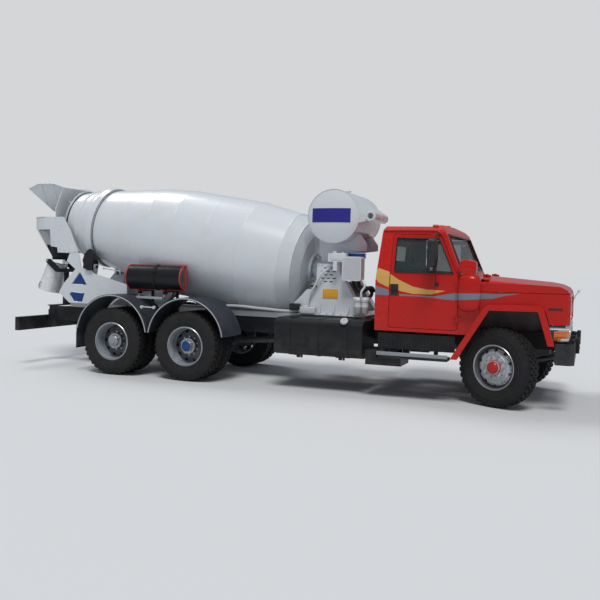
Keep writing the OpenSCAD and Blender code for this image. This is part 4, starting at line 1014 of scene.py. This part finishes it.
seams = []
SEATS = (("driver", DRIVER_Y, 240, 200), ("bench_outer", BENCH_OUTER_Y, 205, 168),
         ("bench_inner", BENCH_INNER_Y, 205, 168))
for name, y, half, inner in SEATS:
    pad(name + "_cushion", (-1510, y - half, 1268), (-1072, y + half, 1362), -0.03)
    pad(name + "_back", (-1520, y - half, 1322), (-1425, y + half, 1880), -0.14)
    seams.append([(-1470, y - inner, 1372), (-1110, y - inner, 1378), (-1110, y + inner, 1378),
                  (-1470, y + inner, 1372)])
pipes("seat_piping", seams, 4, "seat_fabric", TRIM, closed=True)
print("seat pads", 6)

# %% [markdown]
# ## Dashboard and wheel
# Behind the windscreen there is a moulded dashboard with vents and blank dials, and the
# steering wheel on its raked column. These pieces stand for the plain cab interior.

# %% Dashboard and wheel
plate([(-590, 1400), (-755, 1432), (-778, 1500), (-770, 1562), (-700, 1612), (-648, 1646), (-590, 1648)],
      "Y", -1095, 1095, 9)
for y in (-800, -400, 0, 860):
    for z in (1470, 1486, 1502):
        block((-785, y - 70, z - 4), (-770, y + 70, z + 4), 2)
for y in (DRIVER_Y, BENCH_INNER_Y, BENCH_OUTER_Y):
    block((-1480, y - 180, 1017), (-1130, y + 180, 1262), 14)
column = move(-705, DRIVER_Y, 1480) @ spin(-50, "Y")
turned([(0, 0), (34, 0), (28, 60), (26, 190), (48, 194), (46, 212), (30, 220), (0, 222)], column, 24)
turned([(210, 195), (214, 184), (225, 180), (236, 184), (240, 195), (236, 206), (225, 210), (214, 206),
        (210, 195)], column, 48)
for degrees in (0, 120, 240):
    spoke = column @ spin(degrees)
    bar(spoke @ Vector((30, 0, 200)), spoke @ Vector((215, 0, 196)), 10, 8)
bar((-980, 150, 1030), (-950, 160, 1360), 8, 10)
ball(-949, 160, 1370, 24, 2)
piece("dashboard", "seat_fabric", TRIM, "cab_interior")
for y in (455, 520, 585):
    bar((-774, y, 1545), (-781, y, 1547), 27, 28)
piece("blank_dials", "trim", CLEAR_LENS)
print("interior done")

# %% [markdown]
# ## Water tank
# The tank's dished end carries a blank sign that follows the dish. Weld beads run round
# both rims, and a collar sits round the filler pipe.

# %% Water tank
TANK_X, TANK_Z, DISH_R = -2500, 2490, 1300
SIGN_X, SIGN_Z, SIGN_WIDE, SIGN_TALL = -2520, 2499, 584, 204


def dish(x, z):
    """Position across the truck of the tank's right end."""
    return 650 - math.sqrt(DISH_R ** 2 - (x - TANK_X) ** 2 - (z - TANK_Z) ** 2)


bmesh.ops.create_grid(bench, x_segments=30, y_segments=12, size=0.5)
for vert in bench.verts:
    x, z = SIGN_X + SIGN_WIDE * vert.co.x, SIGN_Z + SIGN_TALL * vert.co.y
    vert.co = at(x, dish(x, z) - 3.5, z)
grown = bmesh.ops.extrude_face_region(bench, geom=bench.faces[:])
bmesh.ops.translate(bench, verts=verts_of(grown), vec=(0, 0.003, 0))
bmesh.ops.recalc_face_normals(bench, faces=bench.faces)
piece("tank_sign", "gear_paint", INDIGO)
turned([(388, -7), (393, -5), (394, 0), (393, 5), (388, 7)], move(TANK_X, -590, TANK_Z) @ spin(90, "X"), 96)
mirrored()
collar = move(-1925, -640, TANK_Z) @ spin(90, "X")
turned([(70, -8), (78, -7), (80, 0), (78, 7), (70, 8)], collar, 48)
turned([(43, 8), (45, 14), (66, 14), (71, 9), (71, 4)], collar, 48)
turned([(16, 392), (16, 410), (40, 412), (42, 430), (30, 438), (0, 440)], move(TANK_X, 120, TANK_Z), 32)
piece("tank_welds", "mixer_paint", WHITE)
print("tank sign", SIGN_WIDE, "by", SIGN_TALL)

# %% [markdown]
# ## Drum
# The shell is rolled from cones, so flat weld beads mark where they meet. Two hoops
# stiffen the neck, and a hatch on the far side lets a person in. Two dark rings part the
# neck from the shell and the mouth: they are painted shadow lines, with some grease and
# dirt. All of it turns with the drum.

# %% Drum
DRUM = move(-3000, 0, 1737) @ spin(9, "Y") @ spin(-90, "Y")
SHELL_R, HATCH_Y, HATCH_Z = 865, 215, 180


def drum_piece(name, finish, smooth):
    piece(name, "mixer_paint", finish, body="mixer_drum", smooth=smooth)


def drop(y):
    """How far the drum's round side falls back at a distance y from the hatch's middle."""
    return SHELL_R - math.sqrt(SHELL_R ** 2 - y * y)


for station, radius in ((120, 690), (300, 785), (950, SHELL_R), (1550, SHELL_R), (2150, SHELL_R), (2650, 822),
                        (3130, 741)):
    turned([(radius - 2, station - 9), (radius + 1.6, station - 5), (radius + 2.2, station),
            (radius + 1.2, station + 5), (radius - 4, station + 9)], DRUM, 128)
drum_piece("drum_seams", DRUM_WHITE, 60)
for station, radius in ((3935, 593), (4085, 564)):
    turned([(radius + 2, station - 24), (radius + 15, station - 13), (radius + 18, station - 3),
            (radius + 15, station + 7), (radius - 7, station + 20)], DRUM, 128)
turned([(525, 4322), (541, 4324), (543, 4330), (541, 4336), (525, 4336), (516, 4330)], DRUM, 128)
hatch = DRUM @ spin(68) @ move(SHELL_R, 0, 1500)
for y in (-HATCH_Y, HATCH_Y):
    bar(hatch @ Vector((4 - 27, y, -HATCH_Z)), hatch @ Vector((4 - 27, y, HATCH_Z)), 13, 12)
for z in (-HATCH_Z, HATCH_Z):
    for y in (-HATCH_Y, -108, 0, 108):
        bar(hatch @ Vector((4 - drop(y), y, z)), hatch @ Vector((4 - drop(y + 107), y + 107, z)), 13, 12)
for y in (-160, 0, 160):
    for z in (-140, 140):
        bar(hatch @ Vector((-6 - drop(y), y, z)), hatch @ Vector((14 - drop(y), y, z)), 15, 6)
drum_piece("drum_hoops", DRUM_WHITE, 40)
for index in range(12):
    turn = DRUM @ spin(30 * index)
    bar(turn @ Vector((200, 0, -41)), turn @ Vector((200, 0, -53)), 14, 6)
drum_piece("drum_bolts", BOLT_STEEL, 35)
# Two dark rings, at the roller ring's front edge and at the mouth, are painted shadow lines with some grease.
turned([(632, 3662), (643, 3666), (643, 3686), (630, 3693)], DRUM, 128)
turned([(512, 4292), (527, 4296), (529, 4306), (527, 4316), (514, 4320)], DRUM, 128)
drum_piece("drum_shadow_and_grease_rings", TRIM, 40)
print("drum seams", 7)

# %% [markdown]
# ## Front stand
# The stand carries a blank yellow sign. Valves, hoses and boxes of the hydraulic drive
# crowd round it: a pump block, a black box, filters with domed heads and steel pipes.

# %% Front stand
block((-2676, -461, 1287), (-2439, -454.5, 1426), 2)
piece("stand_sign", "gear_paint", YELLOW)
bars("Y", -460, -464, (-2664, -2451), (1298, 1415), 5, 12)
bars("Z", 1051, 1066, (-3130, -2960, -2790, -2590, -2370, -2170, -2100), (-500, 500), 11, 6)
bars("Y", -452, -462, (-2745, -2700, -2500, -2462), [1778], 10, 6)
piece("stand_bolts", "gear_paint", BOLT_STEEL)
for x in (-2900, -2700, -2480, -2260):
    block((x - 10, -548, 1052), (x + 10, -540, 1090), 3)
block((-3000, -560, 1052), (-2760, -466, 1150), 10, segments=3)
block((-2960, -545, 1148), (-2880, -480, 1172), 8)
block((-2522, -606, 1846), (-2290, -470, 1956), 12, segments=3)
bar((-2470, -560, 1951), (-2470, -560, 1985), 28, 20)
bar((-2360, -520, 1951), (-2360, -520, 1972), 18, 20)
piece("stand_boxes", "mixer_paint", WHITE)
block((-3150, -600, 1100), (-3010, -470, 1195), 9, segments=3)
bars("Y", -598, -612, (-3120, -3080, -3040), [1148], 14, 16)
block((-3140, -500, 1050), (-3040, -470, 1104), 4)
block((-2868, -478, 1446), (-2768, -452, 1478), 5)
bars("Y", -476, -492, (-2850, -2818, -2786), [1462], 8, 10)
piece("valve_box", "trim", GRIP)
print("stand", "sign, bolts, boxes, valves")

# %% [markdown]
# ## Hydraulic pipes and filters
# Rigid pipes are bent tubes, here without the nuts at their ends. Two filters hang below the oil
# cooler: a can with a ribbed head and a drain plug.

# %% Hydraulic pipes and filters
pipes("hydraulic_pipes", [
    [(-2560, -480, 1734), (-2640, -520, 1690), (-2760, -520, 1500), (-2860, -500, 1330), (-2900, -500, 1160)],
    [(-2285, -500, 1850), (-2240, -520, 1700), (-2230, -500, 1560), (-2170, -480, 1500)],
    [(-2040, -600, 1330), (-2040, -600, 1400), (-2000, -560, 1500), (-2060, -520, 1575)],
], 17, "mixer_paint", WHITE, bend="AUTO")
pipes("cooler_hoses", [
    [(-2120, -480, 1575), (-2110, -490, 1490), (-1960, -480, 1450), (-1930, -440, 1380), (-1990, -430, 1300)],
    [(-2200, -500, 1575), (-2170, -520, 1470), (-2080, -500, 1400), (-1930, -500, 1470), (-1900, -420, 1420)],
], 26, "trim", RUBBER, bend="AUTO")
for x in (-2100, -1990):
    post = move(x, -560, 0)
    turned([(0, 1084), (12, 1084), (14, 1094), (46, 1098), (51.5, 1106), (52, 1180), (54, 1184), (54, 1192),
            (52, 1196), (52, 1262), (58, 1266), (60, 1300), (52, 1312), (20, 1318), (0, 1319)], post)
    for index in range(12):
        cube(post @ spin(30 * index) @ move(60, 0, 1283), 6, 9, 26)
piece("filter_cans", "mixer_paint", WHITE)
for z in range(1590, 1890, 14):
    block((-2318, -624, z), (-2068, -619, z + 5), 1.2)
block((-2420, -430, 1885), (-2040, -400, 1968), 8)
piece("cooler_fins", "mixer_paint", WHITE)
block((-2412, -437, 1893), (-2048, -431, 1960), 3)
piece("cooler_sign", "gear_paint", BLUE)
print("pipes", 5, "filters", 2)

# %% [markdown]
# ## Rear stand, roller covers and hopper
# Blue panels close the two openings of the rear stand. A black cover hangs in front of
# each roller. The hopper and the collector have rolled edges, folded ribs and aprons.

# %% Rear stand and hopper
plate([(-7072, 1357), (-6783, 1357), (-6915, 1557)], "Y", -601, -597, 1)
plate([(-7113, 1183), (-7026, 1070), (-6868, 1070), (-6828, 1204), (-7084, 1222)], "Y", -601, -597, 1)
mirrored()
piece("stand_panels", "gear_paint", BLUE)
plate([(-6828, 1756), (-6795, 1850), (-6735, 1922), (-6690, 1945), (-6645, 1940), (-6602, 1885), (-6606, 1780),
       (-6640, 1600), (-6755, 1604), (-6806, 1680)], "Y", -656, -646, 4)
plate([(-6620, 1880), (-6560, 1850), (-6478, 1790), (-6500, 1768), (-6620, 1760)], "Y", -646, -638, 3)
block((-6745, -648, 1612), (-6655, -604, 1640), 5)
block((-6745, -648, 1590), (-6655, -640, 1640), 3)
mirrored()
piece("roller_covers", "trim", RUBBER)
rim = [(-8132, 409, 2980), (-7930, 444, 3049), (-7600, 444, 3049), (-7412, 412, 2986), (-7412, 302, 2762)]
pipes("hopper_rim", both(rim) + [[(-8132, -409, 2980), (-8132, 409, 2980)]], 8, "mixer_paint", WHITE)
for x, low in ((-7860, 2700), (-7620, 2560)):
    foot, head = (202 + (z - 2560) * 0.5 for z in (low, 3036))
    bar((x, foot, low), (x, head, 3036), 7, 8)
bars("Y", 605, 613, (-7420, -7300, -7220), (2330, 2455), 10, 6)
plate([(-7180, 1878), (-6955, 1878), (-7005, 1990), (-7120, 1990)], "Y", 606, 612, 1)
bars("Y", 611, 620, (-7130, -7010), [1905], 10, 6)
bars("Y", 611, 620, (-7110, -7030), [1965], 10, 6)
mirrored()
piece("hopper_ribs", "mixer_paint", WHITE)
plate([(-7542, 2292), (-7530, 2180), (-7517, 1978), (-7385, 1962), (-7372, 1874), (-7180, 1874), (-7210, 1920),
       (-7520, 2290)], "Y", -602, -592, 1)
mirrored()
piece("cheek_aprons", "mixer_paint", WHITE)
half_ring = [(a - 7545, b, 2474) for a, b in arc(600, 100, 160, 20)]
pipes("collector_rim", [half_ring], 8, "mixer_paint", WHITE)
print("rear stand and hopper")

# %% [markdown]
# ## Rubber sleeve
# A black rubber sleeve guides the concrete from the collector into the chute. It is a
# cone that leans forward, so rings of points are joined into a loose skirt.

# %% Rubber sleeve
LEVELS = [1755, 1800, 1870, 1950, 2010]
AROUND = 64
rings = []
for out, level in [(5, z) for z in LEVELS] + [(1.5, z) for z in reversed(LEVELS)]:
    share = max(0, (level - 1795) / 285)
    fold = 2.5 if out == 5 and level < 1900 else 0
    ring = []
    for index in range(AROUND):
        t = math.tau * index / AROUND
        radius = 130 + 200 * share + out + fold * math.sin(9 * t)
        ring.append(bench.verts.new(at(-7800 + 90 * share + radius * math.cos(t), radius * math.sin(t), level)))
    rings.append(ring)
for low, high in zip(rings, rings[1:] + rings[:1]):
    for index in range(AROUND):
        bench.faces.new((low[index - 1], low[index], high[index], high[index - 1]))
bmesh.ops.recalc_face_normals(bench, faces=bench.faces)
piece("rubber_sleeve", "trim", RUBBER)
print("sleeve", len(rings), "rings")

# %% [markdown]
# ## Chutes
# The chute is a half pipe of bright sheet. Its edges and its lip are rolled over a rod,
# and a band stiffens its middle. The spare chute lies in a red frame with a strap.

# %% Chutes
CHUTE = move(-7880, 0, 1740) @ spin(109, "Y") @ Matrix.Scale(-1, 4, (0, 0, 1))
SPARE_Y, SPARE_Z = -850, 1520


def chute_arc(along, out):
    """Points round the outside of the chute, at a distance from its hinge."""
    return [tuple(CHUTE @ Vector((along, a, -b))) for a, b in arc(195 + 75 * along / 515 + out, 0, 180, 24)]


def cradle(radius, steps):
    """Points of an arc under the spare chute, with the next point of each."""
    points = [(SPARE_Y + a, SPARE_Z + b) for a, b in arc(radius, 90, 180, steps)]
    return zip(points, points[1:])


edges = [[chute_arc(along, 3)[end] for along in (4, 515)] for end in (0, -1)]
pipes("chute_rims", [chute_arc(515, 4), chute_arc(4, 4), *edges], 9, "bare_steel", WHITE, "discharge_chute")
pipes("chute_band", [chute_arc(250, 6), chute_arc(268, 6)], 5, "bare_steel", CHUTE_STEEL, "discharge_chute")
grip = [CHUTE @ Vector(p) for p in ((400, 262, -20), (400, 300, -20), (470, 306, -20), (470, 270, -20))]
for start, end in zip(grip, grip[1:]):
    bar(start, end, 7, 10)
bar((-7880, 238, 1740), (-7880, 252, 1740), 22, 6)
mirrored()
piece("chute_grips", "bare_steel", BOLT_STEEL, body="discharge_chute")
for z in (1328, 1702):
    block((-5734, -876, z - 6), (-4756, -838, z + 14), 4)
for x in (-5736, -4782):
    block((x, -866, 1324), (x + 26, -836, 1716), 4)
    for start, end in cradle(190, 12):
        bar((x + 13, *start), (x + 13, *end), 11, 10)
for x in (-5566, -5114):
    block((x - 26, -938, 1300), (x + 26, -826, 1318), 4)
piece("rack_frame", "black_steel", RACK_RED)
for start, end in cradle(194, 18):
    for x in (-5252, -5239, -5225, -5212):
        bar((x, *start), (x, *end), 7.5, 8)
block((-5262, -1056, 1590), (-5202, -1040, 1640), 4)
piece("rack_strap", "trim", RUBBER)
print("chutes", 2)

# %% [markdown]
# ## Guards, rails and hoses along the frame
# Pale edge strips run round the mudguards, a link rod joins them, and a galvanised tube
# for water runs beside the subframe. Bolt heads mark where brackets meet the rails.

# %% Guards and rails
edges = [both([(x + a, 1248, 600 + b) for a, b in arc(629, 9, 162, 30)]) for x in DRIVE_ROWS.values()]
pipes("guard_edges", edges[0] + edges[1], 7, "gear_paint", PALE)
bar((-5300, 1225, 1078), (-5086, 1225, 1072), 10, 12)
bars("Y", 1210, 1240, (-5300, -5086), [1075], 24, 20)
mirrored()
bar((-6439, -612, 1634), (-6128, -612, 1593), 9, 12)
for x, z in ((-6439, 1634), (-6128, 1593)):
    block((x - 14, -614, z - 22), (x + 14, -604, z + 14), 3)
block((-5612, -915, 1183), (-5140, -885, 1222), 5)
for x in (-5566, -5370, -5114):
    block((x - 10, -905, 1215), (x + 10, -893, 1262), 3)
piece("guard_links", "gear_paint", PALE)
pipes("water_tube", [[(-4284, -600, 1075), (-4200, -600, 1110), (-4078, -600, 1120), (-3600, -600, 1100),
                      (-3100, -560, 1080), (-3010, -520, 1090)]], 22, "gear_paint", PALE, bend="AUTO")
bars("Y", 418, 429, range(-7400, -1900, 400), (735, 905), 13, 6)
mirrored()
piece("frame_bolts", "frame_paint", BLACK)
block((-6489, 653, 380), (-6483, 1237, 640), 2)
bars("X", -6484, -6472, (745, 945, 1145), [625], 9, 10)
mirrored()
piece("guard_flaps", "guard", RUBBER)
print("guards and rails")

# %% [markdown]
# ## Tanks and tail
# The fuel tank has a cap, clamp bands with bolts and feet under it, and the air tanks on
# the other side have bands and domed ends. At the tail the bar carries ribbed lamps, a
# blank number plate and reflectors.

# %% Tanks and tail
AIR_Y, AIR_ZS = 760, (620, 850)
turned([(0, 30), (30, 30), (44, 26), (54, 18), (56, 2), (50, -4)], move(-2115, -1133, 1008) @ spin(45, "X"), 32)
block((-2123, -1160, 1030), (-2107, -1148, 1046), 3)
piece("fuel_cap", "black_steel", PALE)
for x in (-2920, -2500, -2080):
    block((x - 14, -1164, 640), (x + 14, -1155, 880), 2)
    bar((x, -1160, 700), (x, -1160, 830), 7, 8)
for x in (-2874, -2237):
    block((x - 60, -930, 474), (x + 60, -560, 500), 6)
    block((x - 25, -900, 440), (x + 25, -860, 478), 6)
    bar((x + 50, -880, 440), (x + 50, -880, 478), 16, 12)
bar((-3162, -900, 900), (-3150, -900, 900), 30, 24)
for z in AIR_ZS:
    for x in (-3100, -2650):
        turned([(99, -18), (103, -16), (103, 16), (99, 18)], move(x, AIR_Y, z) @ spin(90, "Y"))
    for x, degrees in ((-3250, -90), (-2480, 90)):
        turned([(98, -2), (94, 10), (78, 22), (48, 30), (0, 34)], move(x, AIR_Y, z) @ spin(degrees, "Y"), 36)
for z in (650, 730, 810):
    block((-2380, 1048, z - 6), (-1870, 1056, z + 6), 3)
piece("tank_bands", "black_steel", SATIN)
bars("X", -7798, -7806, (894, 980, 1066), [670], 36, 28)
mirrored()
piece("tail_lenses", "tail_lamp", RED_LENS)
block((-7778, 530, 640), (-7769, 670, 700), 3)
mirrored()
block((-7777, -260, 625), (-7769, 260, 735), 2)
piece("tail_plate", "lamp", CLEAR_LENS)
print("tanks and tail")

# %% [markdown]
# ## Floor and light
# A pale floor keeps the truck's shadow and meets a backdrop of the same tone. One wide
# sun stands high on the camera's side, and a faint one from behind draws the far edges.
# The sky that lights the paint is cooler than the backdrop that the camera sees.

# %% Floor and light
bmesh.ops.create_grid(bench, x_segments=1, y_segments=1, size=400)
floor_data = bpy.data.meshes.new("floor")
bench.to_mesh(floor_data)
bench.free()
floor = linked("floor", floor_data)
GROUND = Finish("floor_paint", (0.60, 0.61, 0.62), 0.9)
GROUND.set("Roughness", GROUND.span(GROUND.noise(2), 0.3, 0.7, 0.85, 0.95))
GROUND.set("Specular IOR Level", 0.1)
floor_data.materials.append(GROUND.material)

world = bpy.data.worlds.new("studio")
bpy.context.scene.world = world
world.use_nodes = True
nodes, links = world.node_tree.nodes, world.node_tree.links
sky, backdrop = nodes["Background"], nodes.new("ShaderNodeBackground")
sky.inputs["Color"].default_value = (0.62, 0.68, 0.76, 1)
sky.inputs["Strength"].default_value = 0.45
backdrop.inputs["Color"].default_value = (0.66, 0.67, 0.68, 1)
ray, choose = nodes.new("ShaderNodeLightPath"), nodes.new("ShaderNodeMixShader")
for index, socket in enumerate((ray.outputs["Is Camera Ray"], sky.outputs[0], backdrop.outputs[0])):
    links.new(socket, choose.inputs[index])
links.new(choose.outputs[0], nodes["World Output"].inputs["Surface"])


def sun(name, strength, spread, azimuth, height, colour):
    """Distant soft lamp; azimuth turns from ahead of the truck towards its left."""
    data = bpy.data.lights.new(name, "SUN")
    data.energy, data.angle, data.color = strength, math.radians(spread), colour
    linked(name, data).matrix_world = spin(azimuth) @ spin(90 - height, "Y")


sun("high_sun", 2.0, 20, -68, 60, (1, 0.985, 0.96))
sun("rear_sun", 1.1, 25, 150, 50, (1, 1, 1))
bpy.context.scene.view_settings.view_transform = "Standard"
print("lamps", 2)
